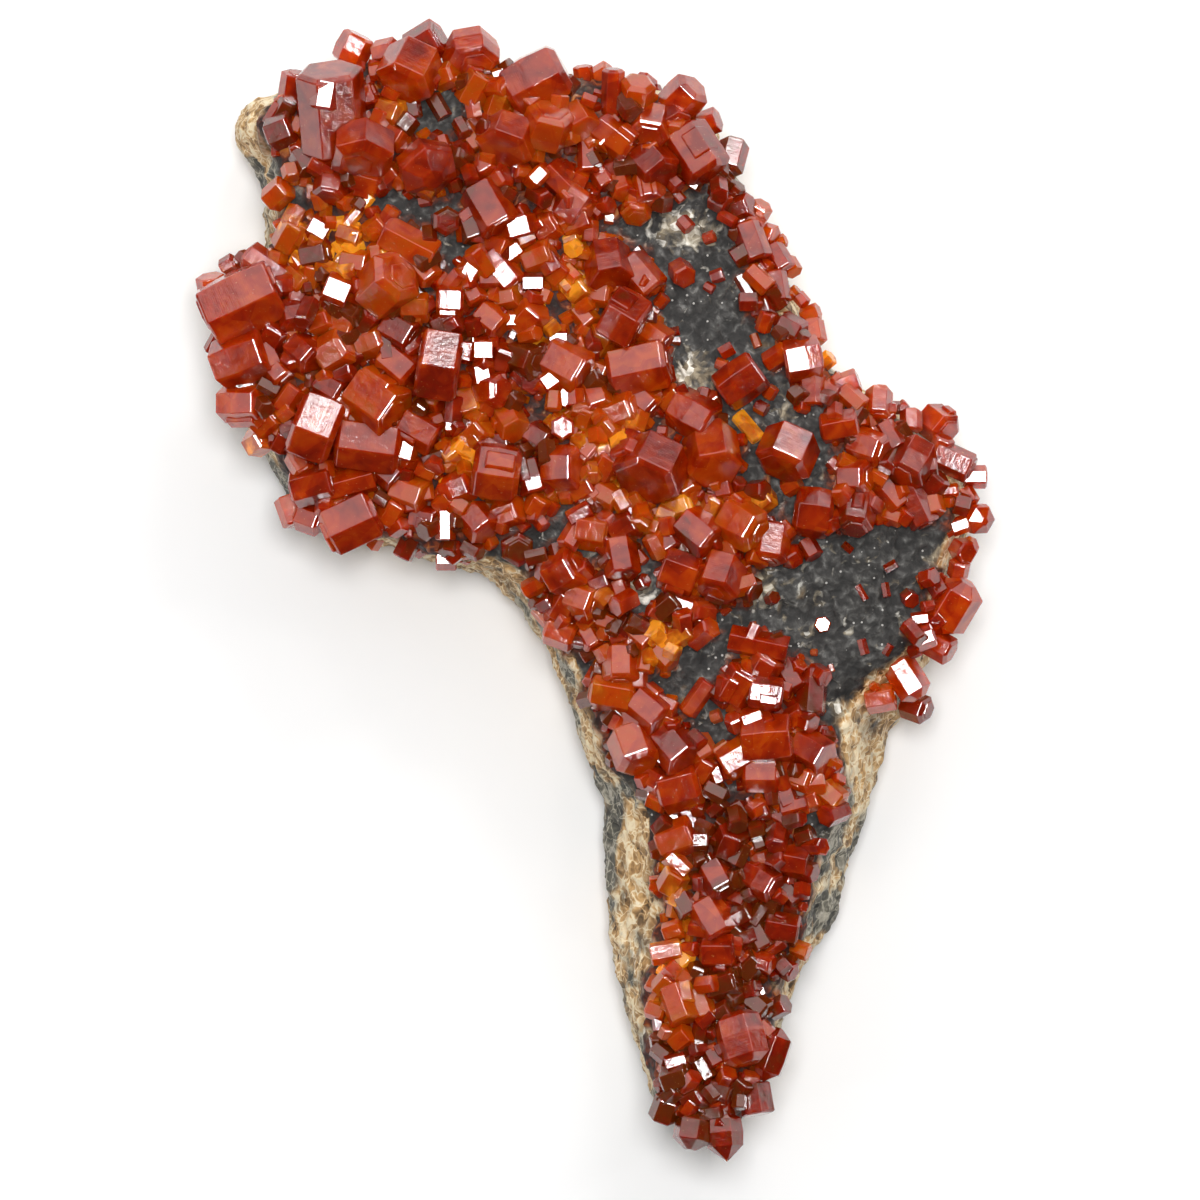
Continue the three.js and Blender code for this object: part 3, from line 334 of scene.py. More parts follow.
# Crystals that stand alone on bare rock, each a CAD node of its own.
LONE_CRYSTALS = {
    "upper_island_crystal": (11.3, 16.0, 3.0, 3.5, 35, 4, RED, 8, 0.2),
    "middle_island_crystal": (14.8, 10.7, 3.9, 3.3, -114, 30, RED),
    "lower_island_crystal": (16.8, 6.1, 3.5, 2.9, -8, 0, RED, 12),
    "glowing_prism": (11.9, 12.6, 1.1, 2.6, -50, 8, GOLD, 16),
    "tilted_prism": (8.1, -7.8, 1.35, 3.0, 55, 8, RED, 0, 0.1),
    "round_purple_crystal": (-10.9, 28.0, 2.0, 2.0, 0, 80, DEEP),
    "steep_crystal": (6.9, 24.2, 1.6, 2.0, -60, 60, RED),
    "hexagon_crystal": (17.5, -2.3, 1.1, 1.2, 100, 89, RED),
    "notch_glint_crystal": (-5.5, 3.4, 2.4, 1.8, -60, 80, DEEP),
    "rim_glint_crystal": (-4.2, 0.6, 1.4, 1.9, 30, 15, ORANGE),
    "ledge_amber_crystal": (-23.5, 30.2, 1.9, 2.1, 40, 30, AMBER),
    "lobe_amber_crystal": (-25.0, 11.6, 2.0, 2.0, 30, 50, AMBER),
    "small_right_crystal": (24.1, -0.3, 1.1, 1.2, -50, 60, DEEP),
    "rim_hexagon_crystal": (28.2, 3.3, 1.6, 1.7, -30, 60, RED),
}

# The smallest crystals that stand on the bare rock, too small for the CAD model.
SCATTERED = [
    (9.6, 24.0, 0.9, 1.0, 20, 10), (9.0, 23.1, 0.7, 0.8, -30, 20), (5.0, 23.0, 0.6, 0.7, 0, 30),
    (5.4, 22.1, 0.9, 1.0, 50, 20), (12.5, 19.1, 0.6, 1.1, -70, 10), (6.4, 19.8, 0.6, 0.7, 10, 10),
    (19.4, 3.5, 0.6, 0.9, -40, 0, DEEP, 25), (22.7, 2.1, 0.7, 1.0, 30, 10, DEEP, 25),
    (14.9, 2.2, 0.5, 0.6, 0, 20), (13.7, -0.3, 0.9, 0.9, 20, 60, BROWN),
    (20.5, 0.1, 0.5, 1.3, -60, 5, DEEP, 25), (22.3, 0.3, 0.6, 1.1, -80, 10, DEEP, 25),
    (20.6, -4.0, 0.7, 1.2, -75, 5, DEEP, 25), (22.5, -4.2, 0.6, 0.9, 60, 10, DEEP, 25),
    (12.3, -2.3, 0.4, 0.5, 10, 10), (3.9, 0.9, 1.0, 1.0, 30, 50, BROWN),
    (10.3, 18.3, 1.0, 1.1, 30, 0, DEEP, 25), (9.9, 17.3, 0.8, 0.9, -20, 10),
    (13.6, 15.2, 0.9, 1.0, 60, 20), (15.2, 8.2, 1.3, 1.4, 30, 20), (16.6, 3.4, 1.3, 1.5, -60, 20, DEEP),
    (18.6, 9.6, 1.0, 1.4, -45, 10), (15.9, -9.9, 0.9, 1.1, 70, 0, ANY, 25), (16.9, -4.4, 0.5, 0.5, 0, 20),
    (18.2, -5.6, 0.4, 0.6, -70, 10), (12.9, 14.0, 0.9, 1.0, -30, 20), (9.5, -9.2, 0.9, 0.8, 20, 20, AMBER),
    (10.2, -1.2, 0.6, 0.8, 40, 10), (-9.2, 30.6, 0.9, 1.2, 60, 10, BROWN), (7.2, 27.9, 1.0, 1.1, -50, 20),
    (9.0, 26.9, 0.8, 0.9, 20, 20), (-12.4, 29.6, 0.8, 0.9, 10, 20),
]

# Bare rock that no crust covers: x, y, half width and half height of each oval, mm.
BARE = [
    (4.6, 28.0, 2.6, 1.5), (8.2, 28.6, 2.2, 1.9), (8.0, 25.5, 3.4, 3.2), (8.5, 21.6, 3.4, 3.2),
    (8.2, 17.6, 2.2, 2.4), (12.4, 18.9, 1.9, 1.6), (13.9, 14.9, 1.6, 1.8), (16.8, 11.6, 1.2, 2.6),
    (10.7, 12.6, 0.8, 1.2), (12.3, 9.3, 0.9, 1.2), (14.0, 7.6, 0.7, 1.6), (0.0, 3.6, 1.4, 0.9),
    (4.1, 0.6, 1.3, 2.2), (8.3, -4.8, 2.0, 1.5), (6.2, -6.8, 1.9, 1.1), (9.3, -9.3, 1.5, 2.6),
    (10.5, -1.9, 2.4, 0.9), (14.5, -0.4, 2.6, 3.0), (20.2, 0.6, 5.2, 4.2), (20.6, -4.4, 3.8, 2.6),
    (18.8, -7.5, 1.4, 3.2), (26.6, 8.6, 1.2, 1.6), (23.0, 4.4, 2.6, 1.3), (26.6, 3.4, 1.0, 1.4),
    (25.0, 12.0, 0.8, 0.8), (-11.7, 36.5, 2.3, 2.0), (-15.3, 29.6, 1.9, 1.0), (-12.8, 29.0, 0.9, 0.8),
    (-9.6, 26.1, 2.0, 1.0), (-12.4, 23.8, 1.2, 1.2), (-22.8, 21.9, 1.0, 0.7), (-7.6, 30.2, 1.0, 0.6),
    (14.3, 21.6, 0.8, 0.8), (16.9, -17.0, 1.4, 2.0), (3.0, -16.0, 1.2, 3.0),
]

# Pale golden crystalline places on the rock, as ovals in the same way.
PALE_PLACES = [
    (7.2, 27.4, 3.4, 2.0), (8.0, 16.6, 2.4, 2.2), (3.9, 0.4, 1.3, 1.5), (12.8, 0.3, 2.2, 2.0),
    (26.4, 2.6, 1.4, 2.0), (15.0, 13.8, 0.9, 1.0), (0.2, 4.3, 1.4, 0.7), (-1.0, 38.9, 2.0, 1.0),
    (18.8, -8.6, 1.6, 1.0), (3.7, -28.7, 1.2, 1.4), (4.4, -33.0, 0.8, 1.2),
]

# Grey places on the broken flanks of the rock, and amber places in the crusts.
GREY_PLACES = [
    (1.4, -18.5, 1.3, 5.0), (19.4, -17.4, 2.6, 1.7), (17.6, -25.6, 2.4, 2.6), (-25.2, 31.8, 1.6, 1.8),
    (4.8, -34.6, 1.0, 1.3), (20.5, -20.6, 1.2, 2.2), (-24.0, 8.0, 3.0, 3.0), (22.0, 20.0, 3.0, 4.0),
]
AMBER_PLACES = [
    (-0.5, 24.0, 1.8, 2.4), (-3.3, 20.2, 1.6, 2.2), (1.8, 10.6, 2.4, 4.2), (-9.5, 8.6, 2.0, 2.4),
    (6.0, -4.6, 2.8, 1.9), (-22.6, 28.0, 3.4, 4.6), (6.0, -25.5, 1.5, 8.0), (-1.5, 13.8, 2.2, 1.6),
    (6.2, 6.2, 3.0, 1.6), (-18.5, 26.0, 3.0, 2.0),
]

# The bare golden knob on the rock's upper left end, and how far its middle bulges out, mm.
KNOB = (-25.4, 35.4, 2.4, 2.8)
KNOB_BULGE = (-1.2, 0.2, 0.6)

GROUPS = {name: [Crystal(*row) for row in rows] for name, rows in CLUSTERS.items()}
GROUPS.update({name: [Crystal(*row)] for name, row in LONE_CRYSTALS.items()})


# ------------------------------
# The ground that crystals stand on

rock_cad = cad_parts["matrix"]


def tree_of(piece):
    vertices = [piece.matrix_world @ v.co for v in piece.data.vertices]
    return BVHTree.FromPolygons(vertices, [tuple(p.vertices) for p in piece.data.polygons])


ROCK_TREE = tree_of(rock_cad)

# A line through the middle of the slab, from the tail to the crown, mm.
SPINE_Y = [-40, -20, -8, 0, 8, 40]
SPINE_X = [8.8, 10.5, 10.5, 11, 3, -11]
SPINE_ENDS = (-39.0, 37.0)


def height_at(x, y):
    """Height of the rock's upper side at a point, mm, or None off the rock or on its sides."""
    hit, normal, _, _ = ROCK_TREE.ray_cast(Vector((x * MM, y * MM, 0.05)), Vector((0, 0, -1)))
    if hit is None or normal.z < 0.8:
        return None
    return hit.z / MM


def ground(x, y):
    """Height that a crystal at the point stands on; it falls away past the slab's rim."""
    spine_y = min(max(y, SPINE_ENDS[0]), SPINE_ENDS[1])
    spine = Vector((float(np.interp(y, SPINE_Y, SPINE_X)), spine_y))
    start = Vector((x, y))
    way = spine - start
    for step in range(RIM_STEPS + 1):
        point = start + way * (step / RIM_STEPS)
        height = height_at(point.x, point.y)
        if height is not None:
            return height - OVERHANG_SLOPE * (point - start).length
    return FALLBACK_HEIGHT


# ------------------------------
# One crystal

def hexagon(distances):
    """The corners of a six-sided outline whose faces lie at these distances from its middle."""
    corners = []
    for k in range(6):
        a, b = math.radians(60 * k), math.radians(60 * (k + 1))
        d, e = distances[k], distances[(k + 1) % 6]
        det = math.sin(b - a)
        x = (d * math.sin(b) - e * math.sin(a)) / det
        y = (e * math.cos(a) - d * math.cos(b)) / det
        corners.append(Vector((x, y)))
    return corners


def add_prism(mesh, prism, rng):
    """Adds a closed six-sided prism along Z, in mm, with sloping faces round both ends."""
    distances = [0.5 * prism.width * (1 + rng.uniform(-UNEVEN, UNEVEN)) for _ in range(6)]
    cut = prism.bevel * prism.width
    half = 0.5 * prism.length
    most = 0.45 * prism.length
    low = min(cut * rng.uniform(0.7, 0.9), most)
    high = min(cut * rng.uniform(0.7, 0.9), most)
    slim = 1 - prism.barrel
    levels = [(-half, slim, cut), (-half + low, slim, 0), (half - high, slim, 0), (half, slim, cut)]
    if prism.barrel:
        levels.insert(2, (rng.uniform(-0.1, 0.1) * prism.length, 1.0, 0))
    rings = []
    for z, scale, inset in levels:
        outline = hexagon([d * scale - inset for d in distances])
        rings.append([mesh.verts.new(Vector((p.x, p.y, z)) + prism.shift) for p in outline])
    mesh.faces.new(list(reversed(rings[0])))
    mesh.faces.new(rings[-1])
    for lower, upper in zip(rings, rings[1:]):
        for k in range(6):
            j = (k + 1) % 6
            mesh.faces.new((lower[k], lower[j], upper[j], upper[k]))


def chamfer(mesh, width):
    bmesh.ops.bevel(
        mesh, geom=mesh.edges[:], offset=width, segments=1, profile=0.5, affect="EDGES",
        clamp_overlap=True,
    )


def write_coordinates(mesh, tone, rng):
    """Marks every face with the tone, and with coordinates along and across the crystal, mm."""
    tones = mesh.faces.layers.float.new("tone")
    coords = mesh.loops.layers.uv.new("growth")
    mesh.normal_update()
    start = Vector((rng.uniform(0, 90), rng.uniform(0, 90)))
    for face in mesh.faces:
        face[tones] = tone
        end = abs(face.normal.z) > 0.8
        aside = Vector((1, 0, 0)) if end else face.normal.cross(Vector((0, 0, 1))).normalized()
        for loop in face.loops:
            along = loop.vert.co.y if end else loop.vert.co.z
            loop[coords].uv = start + Vector((along, loop.vert.co.dot(aside)))


def placement(row):
    """The matrix that puts a prism made along Z where the crystal is, in metres."""
    az, el = math.radians(row.azimuth), math.radians(row.elevation)
    axis = Vector((math.cos(el) * math.cos(az), math.cos(el) * math.sin(az), math.sin(el)))
    top = Vector((-math.sin(el) * math.cos(az), -math.sin(el) * math.sin(az), math.cos(el)))
    turned = Matrix.Rotation(math.radians(row.roll), 3, axis) @ top
    aside = axis.cross(turned)
    half_height = 0.5 * (row.width * math.cos(el) + row.length * abs(math.sin(el)))
    z = ground(row.x, row.y) + SEATING * half_height + row.lift
    rotation = Matrix((turned, aside, axis)).transposed().to_4x4()
    return Matrix.Translation(Vector((row.x, row.y, z)) * MM) @ rotation @ Matrix.Scale(MM, 4)


def tone_of(row, rng):
    base = rng.choice((DEEP, RED, RED, ORANGE)) if row.tone is ANY else row.tone
    return min(1.0, max(0.0, base + rng.uniform(-0.08, 0.08)))


def new_object(name, mesh_data):
    piece = bpy.data.objects.new(name, mesh_data)
    bpy.context.scene.collection.objects.link(piece)
    return piece


def finished_prisms(row, rng, parts, width_of_chamfer):
    """The closed prisms of a crystal as separate objects, ready to be joined."""
    tone = tone_of(row, rng)
    where = placement(row)
    pieces = []
    for prism in parts:
        mesh = bmesh.new()
        add_prism(mesh, prism, rng)
        if width_of_chamfer:
            chamfer(mesh, width_of_chamfer)
        write_coordinates(mesh, tone, rng)
        mesh.transform(where)
        data = bpy.data.meshes.new("prism")
        mesh.to_mesh(data)
        mesh.free()
        pieces.append(new_object("prism", data))
    return pieces


def plain_prism(row):
    return Prism(row.width, row.length, Vector((0, 0, 0)), END_BEVEL, 0.0)


def crystal_parts(row, rng):
    """The prisms that make up a crystal: its body and, on larger ones, parallel growths."""
    width, length = row.width, row.length
    taper = END_BEVEL * rng.uniform(0.3, 1.6) if row.taper is None else row.taper
    barrel = rng.uniform(0.03, 0.08) if width > BARREL_FROM and rng.random() < 0.4 else 0.0
    parts = [Prism(width, length, Vector((0, 0, 0)), taper, barrel)]
    if width < GROWTH_FROM or row.taper is not None:
        return parts
    if rng.random() < 0.5:
        terrace = rng.uniform(0.5, 0.75)
        drift = Vector((rng.uniform(-0.08, 0.08), rng.uniform(-0.08, 0.08), 0)) * width
        parts.append(Prism(width * terrace, length * (1 + rng.uniform(0.04, 0.09)), drift, 0.05, 0.0))
    for _ in range(rng.choice((0, 0, 0, 1, 1))):
        side = math.radians(60 * rng.randrange(6) + rng.choice((0, 30)))
        small = rng.uniform(0.4, 0.65)
        reach = (0.5 - 0.5 * small + rng.uniform(0.06, 0.16)) * width
        along = rng.uniform(-0.3, 0.3) * length
        shift = Vector((math.cos(side) * reach, math.sin(side) * reach, along))
        parts.append(Prism(width * small, length * rng.uniform(0.4, 0.75), shift, 0.06, 0.0))
    return parts


def evaluated_mesh(piece):
    """The mesh that a piece's modifiers give."""
    return bpy.data.meshes.new_from_object(piece.evaluated_get(bpy.context.evaluated_depsgraph_get()))


def joined(pieces, name):
    """Joins closed, overlapping pieces into one solid."""
    base = pieces[0]
    base.name = name
    if len(pieces) > 1:
        others = bpy.data.collections.new("others")
        for piece in pieces[1:]:
            others.objects.link(piece)
        union = base.modifiers.new("union", "BOOLEAN")
        union.operation = "UNION"
        union.operand_type = "COLLECTION"
        union.collection = others
        union.solver = "MANIFOLD"
        data = evaluated_mesh(base)
        base.modifiers.clear()
        base.data = data
        for piece in pieces[1:]:
            bpy.data.objects.remove(piece)
        bpy.data.collections.remove(others)
    base.data.name = name
    return base


# ------------------------------
# Crusts: the placed crystals and the small ones that fill between them

def inside_oval(x, y, ovals):
    return any(((x - a) / w) ** 2 + ((y - b) / h) ** 2 < 1 for a, b, w, h in ovals)


def within(x, y, row, distance):
    """Whether a point is nearer to the crystal's middle than the distance, in plan."""
    return (x - row.x) ** 2 + (y - row.y) ** 2 < distance ** 2


def has_room(x, y, rows):
    """Whether a small crystal may stand at a point: in the crust, not in a large crystal."""
    if not any(within(x, y, row, 0.5 * row.width + DRUSE_MARGIN) for row in rows):
        return False
    large = (row for row in rows if row.width > LARGE_FROM)
    if any(within(x, y, row, LARGE_INSIDE * row.width) for row in large):
        return False
    return not inside_oval(x, y, BARE)


def druse_rows(name, rows, rng):
    """Small crystals scattered through the crust, at least a layer's spacing apart."""
    low_x = min(row.x - row.width for row in rows)
    high_x = max(row.x + row.width for row in rows)
    low_y = min(row.y - row.width for row in rows)
    high_y = max(row.y + row.width for row in rows)
    usual = DARK_TONES if name in DARK_CRUSTS else USUAL_TONES
    found = []
    for spacing, least, widest, lift_from, lift_to in DRUSE_LAYERS:
        layer = []
        tries = int((high_x - low_x) * (high_y - low_y) * DRUSE_TRIES / spacing ** 2)
        for _ in range(tries):
            x, y = rng.uniform(low_x, high_x), rng.uniform(low_y, high_y)
            if not has_room(x, y, rows) or any(within(x, y, row, spacing) for row in layer):
                continue
            width = least + (widest - least) * rng.random() ** 1.5
            tones = AMBER_TONES if inside_oval(x, y, AMBER_PLACES) else usual
            layer.append(Crystal(
                x, y, width, length=width * rng.uniform(0.8, 1.6), azimuth=rng.uniform(-180, 180),
                elevation=rng.uniform(-5, 50), roll=rng.uniform(-30, 30),
                lift=rng.uniform(lift_from, lift_to), tone=rng.choice(tones),
            ))
        found += layer
    return found


def hangs_free(row):
    """Whether a small crystal past the rim would be clear of the rock."""
    if height_at(row.x, row.y) is not None:
        return False
    distance = ROCK_TREE.find_nearest(placement(row).translation)[3]
    return distance > FREE_DISTANCE * row.width * MM


def build_group(name, rows):
    """The detailed crystals of one CAD node, with small ones between them where it is a crust."""
    rng = random.Random(name)
    pieces = []
    for row in rows:
        rng_row = random.Random(f"{name}{row.x}{row.y}")
        fine = CHAMFER * row.width if row.width > CHAMFER_FROM else 0
        pieces += finished_prisms(row, rng_row, crystal_parts(row, rng_row), fine)
    if len(rows) > 1:
        for row in druse_rows(name, rows, rng):
            if not hangs_free(row):
                pieces += finished_prisms(row, rng, [plain_prism(row)], 0)
    suffix = "_detail" if len(rows) == 1 else "_crystals"
    return joined(pieces, name.replace("_cluster", "") + suffix)


def build_scattered():
    pieces = []
    for row in (Crystal(*values) for values in SCATTERED):
        parts = crystal_parts(row, random.Random(1))
        pieces += finished_prisms(row, random.Random(f"s{row.x}{row.y}"), parts, 0)
    return joined(pieces, "scattered_small_crystals")


crystal_pieces = {name: build_group(name, rows) for name, rows in GROUPS.items()}
scattered = build_scattered()


# ------------------------------
# The rock

def fractal(point, scale, octaves):
    return noise.fractal(point * scale, 0.9, 2.1, octaves, noise_basis="PERLIN_ORIGINAL")


def ridges(point, scale, octaves):
    """Sharp crests between hollows, from about -1 to 1."""
    total, size, share = 0.0, scale, 1.0
    for _ in range(octaves):
        total += share * (1 - 4 * abs(noise.noise(point * size)))
        size *= 2.1
        share *= 0.5
    return total * 0.6


def oval_share(points, ovals):
    """How far each point is inside the nearest oval: 1 in its middle, 0 at its edge and beyond."""
    share = np.zeros(len(points))
    for x, y, half_width, half_height in ovals:
        away = ((points[:, 0] - x) / half_width) ** 2 + ((points[:, 1] - y) / half_height) ** 2
        share = np.maximum(share, 1 - away)
    return share


def crust_share(points):
    """1 for the rock right under the crusts, 0 for bare rock."""
    share = np.zeros(len(points))
    for row in (row for name in CLUSTERS for row in GROUPS[name]):
        middle = np.hypot(points[:, 0] - row.x, points[:, 1] - row.y)
        away = middle - 0.5 * row.width - DRUSE_MARGIN
        share = np.maximum(share, np.clip(1 - away / CRUST_EDGE, 0, 1))
    return share * (1 - np.clip(oval_share(points, BARE) * 6, 0, 1))


def rock_mesh():
    """A fine, even mesh of the CAD slab."""
    piece = new_object("matrix_rock", rock_cad.data.copy())
    piece.data.transform(rock_cad.matrix_world)
    for voxel in (ROCK_VOXEL * 3, ROCK_VOXEL):
        remesh = piece.modifiers.new("remesh", "REMESH")
        remesh.mode = "VOXEL"
        remesh.voxel_size = voxel * MM
    data = evaluated_mesh(piece)
    piece.modifiers.clear()
    piece.data = data
    return piece


def rock_texture(points, normals):
    """For each point: how much it is upper side, its relief and its drift on the flanks, mm."""
    upper = np.zeros(len(points))
    relief = np.zeros(len(points))
    drift = np.zeros((len(points), 3))
    noise.seed_set(NOISE_SEED)
    for i, place in enumerate(points):
        p = Vector(place)
        drift[i] = FLANK_DRIFT * noise.noise_vector(p * DRIFT_SCALE)
        top = normals[i, 2] + 0.3 * noise.noise(p * 0.35) + 0.15 * noise.noise(p * 1.3)
        upper[i] = min(1.0, max(0.0, (top - UPPER_FROM) / UPPER_SPAN))
        lumps = LUMP_HEIGHT * fractal(p, LUMP_SCALE, 2) + CREST_HEIGHT * ridges(p, CREST_SCALE, 3)
        warp = Vector((p.x, p.y * 0.55, p.z * 0.55)) + WARP_HEIGHT * noise.noise_vector(p * WARP_SCALE)
        worn = WORN_HEIGHT * ridges(warp, WORN_SCALE, 3)
        relief[i] = upper[i] * lumps + (1 - upper[i]) * worn
    drift *= 1 - upper[:, None]
    return upper, relief, drift


def build_rock():
    """The slab with a felted upper side, a knob and broken, porous flanks."""
    piece = rock_mesh()
    data = piece.data
    points = np.empty(len(data.vertices) * 3)
    normals = np.empty(len(data.vertices) * 3)
    data.vertices.foreach_get("co", points)
    data.vertex_normals.foreach_get("vector", normals)
    points = points.reshape(-1, 3) / MM
    normals = normals.reshape(-1, 3)
    points += oval_share(points, [KNOB])[:, None] * KNOB_BULGE
    upper, relief, drift = rock_texture(points, normals)
    crust = crust_share(points)
    crust *= np.clip((points[:, 2] + drift[:, 2] - CRUST_FLOOR) / CRUST_FADE, 0, 1)
    pale = oval_share(points + drift, PALE_PLACES)
    move = relief + CRUST_RISE * crust
    low = points[:, 2] < FLAT_BELOW
    move[low] *= np.clip((points[low, 2] - 0.05) / (FLAT_BELOW - 0.05), 0, 1)
    points += normals * move[:, None]
    points[:, 2] = np.maximum(points[:, 2], 0)
    data.vertices.foreach_set("co", (points * MM).reshape(-1))
    knob = np.clip(oval_share(points, [KNOB]) * 2, 0, 1)
    fields = {
        "crust": crust,
        "pale": np.clip(pale, 0, 1),
        "upper": upper * (1 - knob),
        "relief": np.clip(0.5 + relief, 0, 1),
        "grey": np.clip(oval_share(points + drift, GREY_PLACES), 0, 1) - knob,
    }
    for name, values in fields.items():
        data.attributes.new(name, "FLOAT", "POINT").data.foreach_set("value", values)
    data.update()
    for polygon in data.polygons:
        polygon.use_smooth = True
    return piece


rock = build_rock()


# ------------------------------
# Materials

# Scales of the shaders' patterns, a metre. One of 1000 has features of about a millimetre.
CLOUD_SCALE = 520          # clouds of colour in the crystals
ZONE_SCALE = 620           # zones of even colour in the crystals
SPECK_SCALE = 5200         # pale specks in the crystals
FELT_SCALE = 1500          # the felted upper side of the rock
FINE_SCALE = 1000          # the rock's colours and grains
BROAD_SCALE = 200          # grey stretches of the flanks
CHIP_SCALE = 1700          # grains of the pale places
PAINTED_GLINT_SCALE = 1900         # pale flecks painted on the upper side as glints of tiny crystals
PLATE_SCALE = 1050         # plates on the flanks, and how much their edges are bent
PLATE_WARP = 1.5

# Scales of the patterns that follow a crystal's growth, a millimetre.
LINE_SCALE = 1.4
WAVE_SCALE = 1.6

# Colours by tone, and the painted glow of the amber and gold ones: emission that stands for light caught
# inside them, though they are no lamp.
HUES = (
    (BROWN, (0.24, 0.040, 0.003)), (DEEP, (0.37, 0.016, 0.001)), (RED, (0.60, 0.044, 0.001)),
    (ORANGE, (0.82, 0.110, 0.002)), (AMBER, (0.70, 0.125, 0.002)), (GOLD, (1.0, 0.34, 0.02)),
)
PAINTED_GLOW = ((0.86, (0, 0, 0)), (0.94, (0.12, 0.035, 0.001)), (1.0, (0.32, 0.115, 0.005)))
SPECK_COLOUR = (0.95, 0.40, 0.15)

# Colours of the rock, each from its dark hollows to its pale crests.
FELTED = (
    (0.34, (0.013, 0.012, 0.011)), (0.50, (0.028, 0.026, 0.024)),
    (0.64, (0.060, 0.057, 0.052)), (0.80, (0.20, 0.19, 0.17)),
)
BROWN_FLANK = (
    (0.28, (0.08, 0.046, 0.020)), (0.40, (0.36, 0.20, 0.075)),
    (0.52, (0.66, 0.40, 0.165)), (0.66, (0.95, 0.80, 0.54)),
)
GREY_FLANK = (
    (0.28, (0.028, 0.026, 0.022)), (0.42, (0.085, 0.080, 0.064)),
    (0.54, (0.17, 0.155, 0.115)), (0.68, (0.50, 0.46, 0.37)),
)
GOLDEN = (
    (0.10, (0.05, 0.042, 0.032)), (0.40, (0.20, 0.155, 0.095)),
    (0.70, (0.46, 0.39, 0.27)), (0.95, (0.90, 0.86, 0.76)),
)
RED_GRAINS = (
    (0.40, (0.020, 0.004, 0.002)), (0.52, (0.075, 0.010, 0.002)),
    (0.62, (0.24, 0.040, 0.004)), (0.75, (0.55, 0.18, 0.02)),
)
# Painted glints: the pale colour of the flecks that stand for tiny crystals catching the light.
PAINTED_GLINT_COLOUR = (0.60, 0.58, 0.54)


def grey(value):
    return (value, value, value)


class Look:
    """A material being made, with short forms for the shader nodes that it uses."""

    def __init__(self, name):
        self.material = bpy.data.materials.new(name)
        self.material.use_nodes = True
        self.nodes = self.material.node_tree.nodes
        self.shader = self.nodes["Principled BSDF"]

    def feed(self, socket, value):
        """Gives a socket a number, a colour or another node's output."""
        if isinstance(value, (int, float)):
            socket.default_value = value
        elif isinstance(value, tuple):
            socket.default_value = (*value, 1)
        else:
            self.material.node_tree.links.new(value, socket)

    def place(self):
        return self.nodes.new("ShaderNodeTexCoord").outputs["Object"]

    def attribute(self, name):
        made = self.nodes.new("ShaderNodeAttribute")
        made.attribute_name = name
        return made.outputs["Fac"]

    def ramp(self, share, stops):
        ramp = self.nodes.new("ShaderNodeValToRGB")
        elements = ramp.color_ramp.elements
        while len(elements) < len(stops):
            elements.new(0.5)
        for element, (place, colour) in zip(elements, stops):
            element.position = place
            element.color = (*colour, 1)
        self.feed(ramp.inputs["Fac"], share)
        return ramp.outputs["Color"]

    def noise(self, vector, scale, detail, distortion=0.0, output="Fac"):
        made = self.nodes.new("ShaderNodeTexNoise")
        made.inputs["Scale"].default_value = scale
        made.inputs["Detail"].default_value = detail
        made.inputs["Distortion"].default_value = distortion
        self.feed(made.inputs["Vector"], vector)
        return made.outputs[output]

    def maths(self, operation, *values, clamp=False):
        made = self.nodes.new("ShaderNodeMath")
        made.operation = operation
        made.use_clamp = clamp
        for socket, value in zip(made.inputs, values):
            self.feed(socket, value)
        return made.outputs[0]

    def plus(self, a, b):
        return self.maths("ADD", a, b)

    def minus(self, a, b):
        return self.maths("SUBTRACT", a, b)

    def times(self, a, b):
        return self.maths("MULTIPLY", a, b)

    def mix(self, share, a, b):
        made = self.nodes.new("ShaderNodeMix")
        made.data_type = "RGBA"
        for socket, value in ((made.inputs[0], share), (made.inputs[6], a), (made.inputs[7], b)):
            self.feed(socket, value)
        return made.outputs[2]

    def voronoi(self, vector, scale, feature):
        made = self.nodes.new("ShaderNodeTexVoronoi")
        made.feature = feature
        made.inputs["Scale"].default_value = scale
        self.feed(made.inputs["Vector"], vector)
        return made

    def cells(self, vector, scale):
        """Irregular cells: a random value for each, and the distance to its middle."""
        made = self.voronoi(vector, scale, "F1")
        value = self.nodes.new("ShaderNodeSeparateColor")
        self.feed(value.inputs[0], made.outputs["Color"])
        return value.outputs[0], made.outputs["Distance"]

    def bent(self, vector, scale, amount):
        """A vector moved about by noise, for cells of this scale with uneven edges."""
        shift = self.nodes.new("ShaderNodeVectorMath")
        shift.operation = "MULTIPLY_ADD"
        shift.inputs[1].default_value = (amount / scale,) * 3
        self.feed(shift.inputs[0], self.noise(vector, scale * 0.8, 2, output="Color"))
        self.feed(shift.inputs[2], vector)
        return shift.outputs[0]

    def bump(self, height, strength, distance):
        bump = self.nodes.new("ShaderNodeBump")
        bump.inputs["Strength"].default_value = strength
        bump.inputs["Distance"].default_value = distance
        self.feed(bump.inputs["Height"], height)
        self.feed(self.shader.inputs["Normal"], bump.outputs["Normal"])


def crystal_colour(look):
    """Gives the shader its colour and painted glow, from the face's tone with clouds, zones and specks."""
    place = look.place()
    cloud = look.noise(place, CLOUD_SCALE, 3, 0.6)
    zone, _ = look.cells(place, ZONE_SCALE)
    mixture = look.plus(look.times(cloud, 0.9), look.times(zone, 0.16))
    tone = look.plus(look.attribute("tone"), look.minus(mixture, 0.54))
    spot = look.maths("GREATER_THAN", look.noise(place, SPECK_SCALE, 2), 0.715)
    colour = look.mix(look.times(spot, 0.5), look.ramp(tone, HUES), SPECK_COLOUR)
    look.feed(look.shader.inputs["Base Color"], colour)
    # Painted glow: amber and gold tones give off light as emission, standing for light they catch; no lamp
    # is there.
    look.feed(look.shader.inputs["Emission Color"], look.ramp(tone, PAINTED_GLOW))


